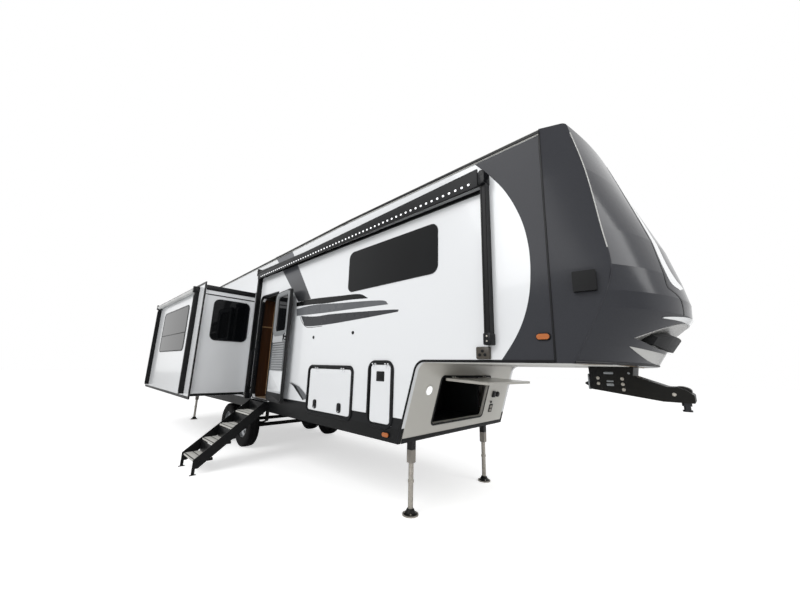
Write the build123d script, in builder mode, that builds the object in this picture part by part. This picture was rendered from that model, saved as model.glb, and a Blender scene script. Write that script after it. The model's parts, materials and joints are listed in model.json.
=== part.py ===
# A fifth wheel travel trailer, parked on its wheels and front landing legs with both room
# slides out, the entry door folded back flat on the wall and the steps down.
# +X is forward, -Y is the door side, +Z is up.  The origin lies on the ground, midway
# between the nose and the rear bumper.  All sizes are millimetres.
from build123d import *
import math
import os

os.makedirs("parts", exist_ok=True)

# Overall box of the body
LENGTH = 12050.0          # nose of the front cap to rear bumper
WIDTH = 2440.0            # over the side walls
ROOF_Z = 3890.0           # roof above ground, level front stretch
ROOF_REAR_Z = 3660.0      # roof above ground at the rear wall
ROOF_LEVEL = 2950.0       # length of the level stretch behind the cap seam
DECK_Z = 1730.0           # underside of the raised bedroom deck
BELLY_Z = 830.0           # underside of the main body
WALL_BASE_Z = 1000.0      # lower edge of the side walls, top of the skirts
FLOOR_TOP_Z = 1030.0      # main floor surface
CAP_DEPTH = 850.0         # nose to the seam between cap and side walls
DECK_LENGTH = 1450.0      # overhang of the deck from the cap seam back
RAKE = 270.0              # the transition wall leans back this far at its foot
DECK_BACK = 2400.0        # raised floor behind the transition wall
BUMPER_REACH = 150.0      # bumper behind the rear wall

# Panel thicknesses and general clearances
WALL = 50.0
SKIRT = 40.0
ROOF = 60.0
ROOF_LIP = 12.0           # roof edge beyond the side walls
FLOOR = 60.0
BELLY = 15.0
GAP = 0.3                 # seated pieces on one body, curved faces
RUN = 5.0                 # between bodies that move
GLASS = 8.0
GLASS_LAP = 22.0          # frameless glass over its opening, each side

# Places that follow from them
HALF = WIDTH / 2
NOSE_X = LENGTH / 2
SEAM_X = NOSE_X - CAP_DEPTH
CORNER_X = SEAM_X - DECK_LENGTH
FOOT_X = CORNER_X - RAKE
REAR_X = -NOSE_X + BUMPER_REACH
BREAK_X = SEAM_X - ROOF_LEVEL
DECK_BACK_X = CORNER_X - DECK_BACK
RAKE_SLOPE = RAKE / (DECK_Z - BELLY_Z)
INNER = HALF - WALL

# Front cap sections from the deck up.  The plan of the cap runs straight from the seam to
# a crease on each side, then bows across the front: crease and nose lie this far behind
# the overall front, and the crease this far in from the side.
CAP_SECTIONS = [
    # up, crease back, crease in, nose back
    (0.0, 725.0, 25.0, 325.0),
    (140.0, 650.0, 35.0, 240.0),
    (430.0, 515.0, 55.0, 20.0),
    (560.0, 455.0, 62.0, 12.0),
    (760.0, 412.0, 70.0, 50.0),
    (1080.0, 450.0, 75.0, 130.0),
    (1640.0, 522.0, 72.0, 335.0),
]
CAP_TOP = (635.0, 80.0, 510.0)   # the same at the roof
CAP_WALL = 45.0
CAP_PLAY = 15.0           # deck floor to the cap's inner face
CAP_BROW = 45.0           # rounding of the cap's top front edge
CHIN_BACK = 450.0         # the chin under the lamp scoop is solid this far behind the nose
CHIN_TOP = 470.0          # and this high over the deck

# The lamp scoop under the nose is a wedge across the whole front.  It runs out into two
# points where the bowed front falls behind its inner edge.
SCOOP = [
    # back from the nose, up from the deck
    (370.0, 215.0),
    (40.0, 400.0),
    (-60.0, 456.0),
    (-60.0, 90.0),
    (262.0, 150.0),
]

# Frame under the body
RAIL_Y = 780.0            # I-beam rails, each side
RAIL_W = 70.0
RAIL_WEB = 8.0
CROSS_PITCH = 1150.0
CROSS_W = 50.0
CROSS_H = 70.0

# Landing legs at the front and stabilisers at the rear
LEG_TUBE = 76.0           # square outer tube
LEG_RAM = 60.0            # round inner ram
LEG_X = FOOT_X - 120.0
REAR_LEG_X = REAR_X + 525.0
LEG_Y = RAIL_Y + RAIL_W / 2 + LEG_TUBE / 2 + GAP
LEG_TUBE_Z = 560.0        # lower end of the outer tubes
LEG_LAP = 200.0           # ram left inside its tube
LEG_COLLAR_Z = 345.0      # stop collar on the ram
LEG_COLLAR_H = 26.0
FOOT_R = 95.0
FOOT_T = 14.0
FOOT_HUB_R = 52.0
FOOT_HUB_H = 46.0

# Wheels, ST235/80R16 on tandem axles
TYRE_R = 391.0
TYRE_W = 235.0
RIM_R = 203.0
AXLE_SPREAD = 838.0
AXLE_X = REAR_X + 4775.0  # front axle
TRACK_Y = 1010.0          # wheel centre
SPINDLE_R = 30.0
AXLE_R = 38.0
SPRING_W = 45.0

# Openings in the side walls: low x, high x, low z, high z
SILL = WALL_BASE_Z + 12.0
DOORWAY = (FOOT_X - 3980.0, FOOT_X - 3250.0, FLOOR_TOP_Z, FLOOR_TOP_Z + 1960.0)
BAGGAGE = (FOOT_X - 1910.0, FOOT_X - 890.0, SILL, SILL + 610.0)
SLIM = (FOOT_X - 490.0, FOOT_X - 140.0, SILL, SILL + 683.0)
BIG_WINDOW = (CORNER_X - 1320.0, CORNER_X + 260.0, DECK_Z + 1000.0, DECK_Z + 1560.0)
REAR_WINDOW = (-650.0, 650.0, 2220.0, 2780.0)
LOCKER_LEAF = 30.0        # thickness of the baggage door leaves
DOOR_LEAF = 40.0
DOOR_OPEN = 174.0         # the entry door is folded back this far
HINGE_OUT = 14.0          # hinge pins stand this far out of the wall
FLAP_OPEN = 104.0

# Room slides: low x, high x, floor and roof heights, depth and travel
SLIDE_X = (REAR_X + 860.0, DOORWAY[0] - 390.0)
ROAD_SLIDE_X = (REAR_X + 700.0, DOORWAY[0] - 950.0)
SLIDE_Z = (1050.0, 3170.0)
SLIDE_OUT = 1000.0        # outer face of the room beyond the side wall
SLIDE_TAIL = 20.0         # part of the room still inside the wall
SLIDE_WALL = 40.0
SLIDE_PLAY = 22.0         # room to opening, each side
FLANGE = 20.0
FLANGE_LAP = 50.0

# Awnings
ROLLER_R = 48.0
ARM = (62.0, 80.0)        # width along the wall, depth out of it
AWNING_DEPTH = 110.0      # everything of an awning lies within this depth

# Generator bay in the transition wall, Y limits and heights
BAY_Y = (-680.0, 520.0)
BAY_Z = (1000.0, 1560.0)
BAY_DEPTH = 700.0
TRANSITION = 40.0         # thickness along the body
LINER = 12.0
CORNER_R = 140.0          # side wall's edge from the transition to the deck


def save(part, name):
    """Label one finished piece and write its STEP file."""
    part.label = name
    export_step(part, f"parts/{name}.step")


def rake_x(z):
    """X of the transition wall's front face at a height."""
    return CORNER_X - (DECK_Z - z) * RAKE_SLOPE


def roof_z(x):
    """Height of the roof surface at a station along the body."""
    if x >= BREAK_X:
        return ROOF_Z
    return ROOF_Z + (ROOF_REAR_Z - ROOF_Z) * (BREAK_X - x) / (BREAK_X - REAR_X)


# Body shell

def side_wall(side):
    """A laminated side wall with its openings: side is -1 on the door side."""
    holes = {
        -1: [(DOORWAY, 70.0), (BIG_WINDOW, 90.0), (BAGGAGE, 45.0), (SLIM, 45.0)],
        1: [(BIG_WINDOW, 90.0), (BAGGAGE, 45.0)],
    }[side]
    room = SLIDE_X if side < 0 else ROAD_SLIDE_X
    opening = (room[0] - SLIDE_PLAY, room[1] + SLIDE_PLAY,
               SLIDE_Z[0] - SLIDE_PLAY + 2, SLIDE_Z[1] + SLIDE_PLAY)
    plane = Plane(origin=(0, side * HALF, 0), x_dir=(1, 0, 0), z_dir=(0, -1, 0))
    inward = WALL if side < 0 else -WALL
    with BuildPart() as wall:
        with BuildSketch(plane) as outline:
            with BuildLine():
                Polyline(
                    (REAR_X, WALL_BASE_Z),
                    (rake_x(WALL_BASE_Z), WALL_BASE_Z),
                    (CORNER_X, DECK_Z),
                    (SEAM_X, DECK_Z),
                    (SEAM_X, ROOF_Z - ROOF),
                    (BREAK_X, ROOF_Z - ROOF),
                    (REAR_X, ROOF_REAR_Z - ROOF),
                    close=True,
                )
            make_face()
            fillet(outline.vertices().sort_by_distance((CORNER_X, DECK_Z))[0], CORNER_R)
            for (x_low, x_high, z_low, z_high), corner in holes + [(opening, 20.0)]:
                with Locations(((x_low + x_high) / 2, (z_low + z_high) / 2)):
                    RectangleRounded(x_high - x_low, z_high - z_low, corner, mode=Mode.SUBTRACT)
        extrude(amount=-inward)
    return wall.part


for side, word in ((-1, "curb"), (1, "road")):
    save(side_wall(side), f"side_wall_{word}")

with BuildPart() as roof:
    with BuildSketch(Plane(origin=(0, -HALF - ROOF_LIP, 0), x_dir=(1, 0, 0), z_dir=(0, -1, 0))):
        with BuildLine():
            Polyline(
                (REAR_X - ROOF_LIP, roof_z(REAR_X - ROOF_LIP) - ROOF),
                (BREAK_X, ROOF_Z - ROOF),
                (SEAM_X, ROOF_Z - ROOF),
                (SEAM_X, ROOF_Z),
                (BREAK_X, ROOF_Z),
                (REAR_X - ROOF_LIP, roof_z(REAR_X - ROOF_LIP)),
                close=True,
            )
        make_face()
    extrude(amount=-(WIDTH + 2 * ROOF_LIP))
    fillet(roof.edges().filter_by(lambda e: abs(abs(e.center().Y) - HALF - ROOF_LIP) < 1
                                  and e.center().Z > roof_z(e.center().X) - 2
                                  and abs(e.center().X - SEAM_X) > 1
                                  and e.center().X > REAR_X), 30)
save(roof.part, "roof")

with BuildPart() as rear_wall:
    with BuildSketch(Plane(origin=(REAR_X, 0, 0), x_dir=(0, 1, 0), z_dir=(1, 0, 0))):
        with Locations((0, (WALL_BASE_Z + ROOF_REAR_Z - ROOF) / 2)):
            Rectangle(2 * INNER, ROOF_REAR_Z - ROOF - WALL_BASE_Z)
        with Locations(((REAR_WINDOW[0] + REAR_WINDOW[1]) / 2, (REAR_WINDOW[2] + REAR_WINDOW[3]) / 2)):
            RectangleRounded(REAR_WINDOW[1] - REAR_WINDOW[0], REAR_WINDOW[3] - REAR_WINDOW[2], 90,
                             mode=Mode.SUBTRACT)
    extrude(amount=WALL)
save(rear_wall.part, "rear_wall")

# Floors, skirts and belly

floor_front = rake_x(FLOOR_TOP_Z - FLOOR) - TRANSITION - GAP
bay_front = rake_x(BAY_Z[0] - LINER) - TRANSITION - GAP
bay_y = (BAY_Y[0] + BAY_Y[1]) / 2
bay_wide = BAY_Y[1] - BAY_Y[0]
with BuildPart() as main_floor:
    with BuildSketch(Plane.XY.offset(FLOOR_TOP_Z - FLOOR)):
        with Locations(((REAR_X + WALL + floor_front) / 2, 0)):
            Rectangle(floor_front - REAR_X - WALL, 2 * INNER)
    extrude(amount=FLOOR)
    with BuildSketch(Plane.XY.offset(BAY_Z[0] - LINER)):
        with Locations((floor_front, bay_y)):
            Rectangle(2 * (BAY_DEPTH + FLOOR), bay_wide + 2 * LINER + 2 * GAP)
    extrude(amount=FLOOR, mode=Mode.SUBTRACT)
save(main_floor.part, "main_floor")


def cap_section(up, crease_back, crease_in, nose_back, inset=0.0):
    """Plan of the cap at a height over the deck: straight sides to the crease, a bowed front."""
    start = SEAM_X - (1.0 if inset else 0.0)
    crease_x = NOSE_X - crease_back - inset
    crease_y = HALF - crease_in - inset
    with BuildSketch(Plane.XY.offset(DECK_Z + up)) as plan:
        with BuildLine():
            Line((start, inset - HALF), (crease_x, -crease_y))
            ThreePointArc((crease_x, -crease_y), (NOSE_X - nose_back - inset, 0), (crease_x, crease_y))
            Line((crease_x, crease_y), (start, HALF - inset))
            Line((start, HALF - inset), (start, inset - HALF))
        make_face()
    return plan.sketch


CAP_ALL = CAP_SECTIONS + [(ROOF_Z - DECK_Z, *CAP_TOP)]

with BuildPart() as deck_floor:
    with BuildSketch(Plane.XY.offset(DECK_Z)):
        with Locations(((DECK_BACK_X + SEAM_X) / 2, 0)):
            Rectangle(SEAM_X - DECK_BACK_X, 2 * INNER)
    extrude(amount=FLOOR)
    extrude(cap_section(*CAP_ALL[0], inset=CAP_WALL + CAP_PLAY), amount=FLOOR)
    split(bisect_by=Plane.YZ.offset(NOSE_X - CHIN_BACK - GAP), keep=Keep.BOTTOM)
save(deck_floor.part, "deck_floor")

with BuildPart() as cavity:
    loft([cap_section(*section, inset=CAP_WALL) for section in CAP_ALL], ruled=True)
    split(bisect_by=Plane.XY.offset(ROOF_Z - ROOF), keep=Keep.BOTTOM)
    with BuildSketch(Plane.XY.offset(DECK_Z)):
        with Locations((NOSE_X - CHIN_BACK + CAP_DEPTH / 2, 0)):
            Rectangle(CAP_DEPTH, 2 * WIDTH)
    extrude(amount=CHIN_TOP, mode=Mode.SUBTRACT)

with BuildPart() as front_cap:
    loft([cap_section(*section) for section in CAP_ALL], ruled=True)
    brow = front_cap.edges().filter_by(lambda e: e.center().Z > ROOF_Z - 1 and e.center().X > SEAM_X + 1)
    fillet(brow.sort_by(Axis.X)[-1:], CAP_BROW)
    add(cavity.part, mode=Mode.SUBTRACT)
    with BuildSketch(Plane(origin=(NOSE_X, 0, DECK_Z), x_dir=(-1, 0, 0), z_dir=(0, 1, 0))):
        with BuildLine():
            Polyline(*SCOOP, close=True)
        make_face()
    extrude(amount=HALF, both=True, mode=Mode.SUBTRACT)
save(front_cap.part, "front_cap")

with BuildPart() as skirts:
    for side in (-1, 1):
        with BuildSketch(Plane(origin=(0, side * HALF, 0), x_dir=(1, 0, 0), z_dir=(0, -1, 0))):
            with BuildLine():
                Polyline(
                    (REAR_X, WALL_BASE_Z),
                    (rake_x(WALL_BASE_Z), WALL_BASE_Z),
                    (rake_x(BELLY_Z), BELLY_Z),
                    (REAR_X, BELLY_Z),
                    close=True,
                )
            make_face()
        extrude(amount=side * SKIRT)
save(skirts.part, "skirts")

FRAME_END = rake_x(BELLY_Z) - TRANSITION - GAP
FRAME_MID = (REAR_X + FRAME_END) / 2
FRAME_LONG = FRAME_END - REAR_X
with BuildPart() as chassis:
    for side in (-1, 1):
        with BuildSketch(Plane(origin=(REAR_X, side * RAIL_Y, 0), x_dir=(0, 1, 0), z_dir=(1, 0, 0))):
            with Locations((0, (BELLY_Z + FLOOR_TOP_Z - FLOOR) / 2)):
                Rectangle(RAIL_WEB, FLOOR_TOP_Z - FLOOR - BELLY_Z)
            with Locations((0, BELLY_Z + RAIL_WEB / 2), (0, FLOOR_TOP_Z - FLOOR - RAIL_WEB / 2)):
                Rectangle(RAIL_W, RAIL_WEB)
        extrude(amount=FRAME_LONG)
    with BuildSketch(Plane.XY.offset(BELLY_Z + BELLY + GAP)):
        with Locations((FRAME_MID, 0)):
            with GridLocations(CROSS_PITCH, 0, int(FRAME_LONG // CROSS_PITCH), 1):
                Rectangle(CROSS_W, 2 * RAIL_Y)
    extrude(amount=CROSS_H)
save(chassis.part, "chassis")

LEG_PLACES = [(x, side * LEG_Y) for x in (LEG_X, REAR_LEG_X) for side in (-1, 1)]
with BuildPart() as underbelly:
    with BuildSketch(Plane.XY.offset(BELLY_Z)):
        with Locations((FRAME_MID, 0)):
            Rectangle(FRAME_LONG, 2 * (RAIL_Y - RAIL_W / 2 - GAP))
        for side in (-1, 1):
            with Locations((FRAME_MID, side * (RAIL_Y + RAIL_W / 2 + HALF - SKIRT) / 2)):
                Rectangle(FRAME_LONG, HALF - SKIRT - RAIL_Y - RAIL_W / 2 - 2 * GAP)
        with Locations(*LEG_PLACES):
            Rectangle(LEG_TUBE + 2 * GAP, LEG_TUBE + 2 * GAP, mode=Mode.SUBTRACT)
    extrude(amount=BELLY)
save(underbelly.part, "underbelly")

# Transition wall and generator bay

rake_plane = Plane(origin=(CORNER_X, 0, DECK_Z), x_dir=(0, 1, 0), z_dir=(1, 0, -RAKE_SLOPE))
rake_angle = math.atan(RAKE_SLOPE)
rake_length = (DECK_Z - BELLY_Z) / math.cos(rake_angle)


def down_rake(z):
    """Local height on the raked plane of a point at height z."""
    return (z - DECK_Z) / math.cos(rake_angle)


bay_mid = ((BAY_Y[0] + BAY_Y[1]) / 2, (down_rake(BAY_Z[0]) + down_rake(BAY_Z[1])) / 2)
bay_size = (BAY_Y[1] - BAY_Y[0], down_rake(BAY_Z[1]) - down_rake(BAY_Z[0]))
with BuildPart() as transition_wall:
    with BuildSketch(rake_plane):
        with Locations((0, -rake_length / 2)):
            Rectangle(2 * (INNER - GAP), rake_length)
        with Locations(bay_mid):
            RectangleRounded(*bay_size, 40, mode=Mode.SUBTRACT)
    extrude(amount=-TRANSITION * math.cos(rake_angle))
    split(bisect_by=Plane.XY.offset(DECK_Z), keep=Keep.BOTTOM)
    split(bisect_by=Plane.XY.offset(BELLY_Z), keep=Keep.TOP)
save(transition_wall.part, "transition_wall")

with BuildPart() as bay:
    bay_z = (BAY_Z[0] + BAY_Z[1]) / 2
    bay_high = BAY_Z[1] - BAY_Z[0]
    with Locations((bay_front - BAY_DEPTH / 2, bay_y, bay_z)):
        Box(BAY_DEPTH, bay_wide + 2 * LINER, bay_high + 2 * LINER)
        with Locations((LINER, 0, 0)):
            Box(BAY_DEPTH, bay_wide, bay_high, mode=Mode.SUBTRACT)
save(bay.part, "generator_bay")

# Pin box and kingpin: the profile is given back from the pin and up from its plate
PIN_X = NOSE_X - 150.0
PIN_PLATE_Z = DECK_Z - 305.0
PIN_BOX_W = 330.0
PIN_PLATE = 12.0
PIN_ROOT = 18.0           # kingpin let into the plate
PIN_SECTIONS = [
    # radius, height, from the root down
    (35.7, PIN_ROOT + 35.0),
    (25.4, 33.0),
    (35.7, 16.0),
]
deck_up = DECK_Z - PIN_PLATE_Z
with BuildPart() as pin_box:
    with BuildSketch(Plane(origin=(PIN_X, 0, PIN_PLATE_Z), x_dir=(1, 0, 0), z_dir=(0, -1, 0))):
        with BuildLine():
            Polyline(
                (-725, deck_up), (-340, deck_up), (-352, deck_up - 86), (-110, 130), (-35, 130),
                (20, 106), (66, 66), (66, 0), (-150, 0), (-715, 78),
                close=True,
            )
        make_face()
    extrude(amount=PIN_BOX_W / 2, both=True)
    fillet(pin_box.edges().filter_by(Axis.Y), 8)
    with BuildSketch(Plane(origin=(PIN_X, 0, PIN_PLATE_Z), x_dir=(1, 0, 0), z_dir=(0, -1, 0))):
        with BuildLine():
            Polyline(
                (-713, deck_up - PIN_PLATE), (-354, deck_up - PIN_PLATE), (-366, deck_up - 97),
                (-150, 130), (-150, -20), (-703, 0),
                close=True,
            )
        make_face()
    extrude(amount=PIN_BOX_W / 2 - PIN_PLATE, both=True, mode=Mode.SUBTRACT)
    with BuildSketch(Plane.XY.offset(PIN_PLATE_Z)):
        with Locations((PIN_X, 0)):
            Circle(PIN_SECTIONS[0][0] + GAP)
    extrude(amount=PIN_ROOT + GAP, mode=Mode.SUBTRACT)
save(pin_box.part, "pin_box")

with BuildPart() as kingpin:
    z = PIN_PLATE_Z + PIN_ROOT
    for radius, height in PIN_SECTIONS:
        with BuildSketch(Plane.XY.offset(z)):
            with Locations((PIN_X, 0)):
                Circle(radius)
        extrude(amount=-height)
        z -= height
save(kingpin.part, "kingpin")

# Legs: square outer tubes fixed to the frame, round rams with a foot

with BuildPart() as leg_tubes:
    with BuildSketch(Plane.XY.offset(LEG_TUBE_Z)):
        with Locations(*LEG_PLACES):
            Rectangle(LEG_TUBE, LEG_TUBE)
            Circle(LEG_RAM / 2 + GAP, mode=Mode.SUBTRACT)
    extrude(amount=FLOOR_TOP_Z - FLOOR - LEG_TUBE_Z - GAP)
save(leg_tubes.part, "leg_tubes")

with BuildPart() as leg_rams:
    with BuildSketch():
        with Locations(*LEG_PLACES):
            Circle(FOOT_R)
    extrude(amount=FOOT_T)
    with BuildSketch(Plane.XY.offset(FOOT_T)):
        with Locations(*LEG_PLACES):
            Circle(FOOT_HUB_R)
    extrude(amount=FOOT_HUB_H, taper=22)
    with BuildSketch(Plane.XY.offset(FOOT_T + FOOT_HUB_H)):
        with Locations(*LEG_PLACES):
            Circle(LEG_RAM / 2)
    extrude(amount=LEG_TUBE_Z + LEG_LAP - FOOT_T - FOOT_HUB_H)
    with BuildSketch(Plane.XY.offset(LEG_COLLAR_Z)):
        with Locations(*LEG_PLACES):
            Circle(LEG_RAM / 2 + 7)
    extrude(amount=LEG_COLLAR_H)
save(leg_rams.part, "leg_rams")

# Axles, springs and wheels

AXLES = [AXLE_X, AXLE_X - AXLE_SPREAD]
DRUM_R = 150.0
DRUM_W = 60.0
DISC_Y = 35.0             # wheel disc outboard of the wheel's middle
HUB_R = 62.0
with BuildPart() as axles:
    for x in AXLES:
        with Locations(Location((x, 0, TYRE_R), (90, 0, 0))):
            Cylinder(AXLE_R, 2 * (TRACK_Y - 60))
            Cylinder(SPINDLE_R, 2 * (TRACK_Y + DISC_Y + 20))
        for side in (-1, 1):
            with Locations(Location((x, side * (TRACK_Y - 60), TYRE_R), (90, 0, 0))):
                Cylinder(DRUM_R, DRUM_W)
save(axles.part, "axles")

SPRING_SEAT = TYRE_R + AXLE_R
SPRING_T = 42.0
EYE_R = 28.0
EYE_DX = 380.0
with BuildPart() as leaf_springs:
    for x in AXLES:
        for side in (-1, 1):
            with BuildSketch(Plane(origin=(x, side * RAIL_Y, SPRING_SEAT), x_dir=(1, 0, 0), z_dir=(0, -1, 0))):
                with BuildLine():
                    ThreePointArc((-EYE_DX, 105), (0, GAP), (EYE_DX, 105))
                    Line((EYE_DX, 105), (EYE_DX, 118))
                    ThreePointArc((EYE_DX, 118), (0, SPRING_T), (-EYE_DX, 118))
                    Line((-EYE_DX, 118), (-EYE_DX, 105))
                make_face()
                with Locations((-EYE_DX, 112), (EYE_DX, 112)):
                    Circle(EYE_R)
            extrude(amount=SPRING_W / 2, both=True)
            with BuildSketch(Plane(origin=(x, side * RAIL_Y, 0), x_dir=(1, 0, 0), z_dir=(0, -1, 0))):
                for dx in (-EYE_DX, EYE_DX):
                    with Locations((dx, (BELLY_Z + SPRING_SEAT + 112) / 2 - GAP / 2)):
                        Rectangle(50, BELLY_Z - SPRING_SEAT - 112 - GAP)
            extrude(amount=SPRING_W / 2 + 4, both=True)
save(leaf_springs.part, "leaf_springs")

WHEELS = [
    # name, axle index, side
    ("curb_front", 0, -1),
    ("curb_rear", 1, -1),
    ("road_front", 0, 1),
    ("road_rear", 1, 1),
]
RIM_W = 180.0
FLANGE_T = 20.0           # rim flange and barrel, measured in from the rim's edge
DISC_T = 14.0
HUB_CAP = 30.0            # centre cap outboard of the disc
HAND_HOLES = 8
SHOULDER = (34.0, 24.0)   # bevel of the tread's outer edge, across and in
for name, axle, side in WHEELS:
    centre = Plane(origin=(AXLES[axle], side * TRACK_Y, TYRE_R), x_dir=(1, 0, 0), z_dir=(0, side, 0))
    with BuildPart() as rim:
        with BuildSketch(Plane(centre.origin, x_dir=centre.x_dir, z_dir=-centre.y_dir)):
            with BuildLine():
                Polyline(
                    (SPINDLE_R + GAP, DISC_Y - DISC_T), (RIM_R - 62, DISC_Y - DISC_T), (RIM_R - FLANGE_T, 0),
                    (RIM_R - FLANGE_T, -RIM_W / 2), (RIM_R, -RIM_W / 2), (RIM_R, RIM_W / 2),
                    (RIM_R - 8, RIM_W / 2), (RIM_R - FLANGE_T, DISC_Y + 12), (RIM_R - 58, DISC_Y),
                    (HUB_R, DISC_Y), (HUB_R, DISC_Y + HUB_CAP), (SPINDLE_R + GAP, DISC_Y + HUB_CAP),
                    close=True,
                )
            make_face()
        revolve(axis=Axis(centre.origin, centre.z_dir))
        with BuildSketch(centre.offset(DISC_Y - 40)):
            with PolarLocations((HUB_R + RIM_R - 58) / 2, HAND_HOLES):
                SlotOverall(46, 30)
        extrude(amount=80, mode=Mode.SUBTRACT)
    save(rim.part, f"rim_{name}")
    with BuildPart() as tyre:
        with BuildSketch(centre):
            Circle(TYRE_R)
            Circle(RIM_R + GAP, mode=Mode.SUBTRACT)
        extrude(amount=TYRE_W / 2, both=True)
        tread_edges = tyre.edges().filter_by(
            lambda e: e.geom_type == GeomType.CIRCLE and e.radius > TYRE_R - 1)
        chamfer(tread_edges.sort_by(Axis(centre.origin, centre.z_dir))[-1], SHOULDER[0], SHOULDER[1])
    save(tyre.part, f"tyre_{name}")

# Hinged leaves.  Each opening has a plane on the wall's outer face with its middle as
# origin, local y towards the hinge side and local z outward.

PIN_UP = 8.0              # hinge pin beyond the opening's edge
PIN_R = 5.0
KNUCKLE_R = 9.0
BLOCK = 24.0              # fixed hinge block, along the pin
KNUCKLE = 20.0
TRIM_W = 26.0             # frame trim round an opening
TRIM_T = 4.0
PROUD = TRIM_T + 1.0      # outer face of a leaf beyond the wall


def swung(plane, high, angle):
    """Plane of a leaf that has swung outward about its hinge pin."""
    reach = high / 2 + PIN_UP
    a = math.radians(angle)
    up = plane.y_dir * math.cos(a) - plane.z_dir * math.sin(a)
    out = plane.z_dir * math.cos(a) + plane.y_dir * math.sin(a)
    pin = plane.origin + plane.y_dir * reach + plane.z_dir * HINGE_OUT
    return Plane(origin=pin - up * reach - out * HINGE_OUT, x_dir=plane.x_dir, z_dir=out)


def hinge_places(wide, count):
    """Places of the hinges along the pin line."""
    if count == 2:
        return [-0.32 * wide, 0.32 * wide]
    return [-0.4 * wide, 0.0, 0.4 * wide]


def opening_plane(box, side):
    """Plane of a side wall opening hinged along its upper edge."""
    x_low, x_high, z_low, z_high = box
    return Plane(origin=((x_low + x_high) / 2, side * HALF, (z_low + z_high) / 2),
                 x_dir=(-side, 0, 0), z_dir=(0, side, 0))


door_x = (DOORWAY[0] + DOORWAY[1]) / 2
door_z = (DOORWAY[2] + DOORWAY[3]) / 2
DOOR_PLANE = Plane(origin=(door_x, -HALF, door_z), x_dir=(0, 0, -1), z_dir=(0, -1, 0))
bay_rake_z = bay_mid[1] * math.cos(rake_angle) + DECK_Z
FLAP_PLANE = Plane(origin=(rake_x(bay_rake_z), bay_y, bay_rake_z), x_dir=(0, 1, 0), z_dir=(1, 0, -RAKE_SLOPE))
LEAVES = [
    # name, plane of the opening, width along the pin, height, corner, thickness, hinges, open angle
    ("entry_door", DOOR_PLANE, DOORWAY[3] - DOORWAY[2], DOORWAY[1] - DOORWAY[0], 70.0, DOOR_LEAF, 3, DOOR_OPEN),
    ("baggage_door_curb", opening_plane(BAGGAGE, -1), BAGGAGE[1] - BAGGAGE[0], BAGGAGE[3] - BAGGAGE[2],
     45.0, LOCKER_LEAF, 2, 0.0),
    ("slim_door_curb", opening_plane(SLIM, -1), SLIM[1] - SLIM[0], SLIM[3] - SLIM[2], 45.0, LOCKER_LEAF, 2, 0.0),
    ("baggage_door_road", opening_plane(BAGGAGE, 1), BAGGAGE[1] - BAGGAGE[0], BAGGAGE[3] - BAGGAGE[2],
     45.0, LOCKER_LEAF, 2, 0.0),
    ("generator_flap", FLAP_PLANE, bay_size[0], bay_size[1], 40.0, LOCKER_LEAF, 2, FLAP_OPEN),
]

with BuildPart() as door_frames:
    for name, plane, wide, high, corner, thick, hinges, opened in LEAVES:
        with BuildSketch(plane):
            RectangleRounded(wide + 2 * TRIM_W, high + 2 * TRIM_W, corner + TRIM_W)
            RectangleRounded(wide, high, corner, mode=Mode.SUBTRACT)
        extrude(amount=TRIM_T)
        for x in hinge_places(wide, hinges):
            with BuildSketch(plane.offset(TRIM_T)):
                with Locations((x, high / 2 + PIN_UP)):
                    Rectangle(BLOCK, 2 * KNUCKLE_R - 2)
            extrude(amount=HINGE_OUT + KNUCKLE_R - 1 - TRIM_T)
            along = Plane(plane.from_local_coords((x, high / 2 + PIN_UP, HINGE_OUT)),
                          x_dir=plane.y_dir, z_dir=plane.x_dir)
            with BuildSketch(along.offset(-BLOCK / 2 - KNUCKLE - 1)):
                Circle(PIN_R)
            extrude(amount=BLOCK + 2 * KNUCKLE + 2)
save(door_frames.part, "door_frames")

DOOR_WINDOW = (500.0, 640.0, -560.0)   # across, high, middle above the door's middle (local x)
for name, plane, wide, high, corner, thick, hinges, opened in LEAVES:
    shut = swung(plane, high, opened)
    with BuildPart() as leaf:
        with BuildSketch(shut.offset(PROUD - thick)):
            RectangleRounded(wide - 2 * RUN, high - 2 * RUN, corner - RUN)
            if name == "entry_door":
                with Locations((DOOR_WINDOW[2], 0)):
                    RectangleRounded(DOOR_WINDOW[1], DOOR_WINDOW[0], 60, mode=Mode.SUBTRACT)
        extrude(amount=thick)
        for x in hinge_places(wide, hinges):
            for end in (-1, 1):
                middle = x + end * (BLOCK / 2 + 1 + KNUCKLE / 2)
                along = Plane(shut.from_local_coords((middle, high / 2 + PIN_UP, HINGE_OUT)),
                              x_dir=shut.y_dir, z_dir=shut.x_dir)
                with BuildSketch(along.offset(-KNUCKLE / 2)):
                    Circle(KNUCKLE_R)
                    with Locations((-28, PROUD - HINGE_OUT + 2.5)):
                        Rectangle(56, 5)
                    Circle(PIN_R + GAP, mode=Mode.SUBTRACT)
                extrude(amount=KNUCKLE)
    save(leaf.part, name)
    if name == "entry_door":
        with BuildPart() as glass:
            with BuildSketch(shut.offset(PROUD - thick / 2 - GLASS / 2)):
                with Locations((DOOR_WINDOW[2], 0)):
                    RectangleRounded(DOOR_WINDOW[1] - 2 * GAP, DOOR_WINDOW[0] - 2 * GAP, 60)
            extrude(amount=GLASS)
        save(glass.part, "entry_door_glass")

# Fixed windows: frameless panes bonded over their openings

PANES = [
    # plane of the wall face, across, up, width, height
    (Plane(origin=(0, -HALF, 0), x_dir=(1, 0, 0), z_dir=(0, -1, 0)), BIG_WINDOW),
    (Plane(origin=(0, HALF, 0), x_dir=(1, 0, 0), z_dir=(0, 1, 0)), BIG_WINDOW),
    (Plane(origin=(REAR_X, 0, 0), x_dir=(0, 1, 0), z_dir=(-1, 0, 0)), REAR_WINDOW),
]


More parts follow.
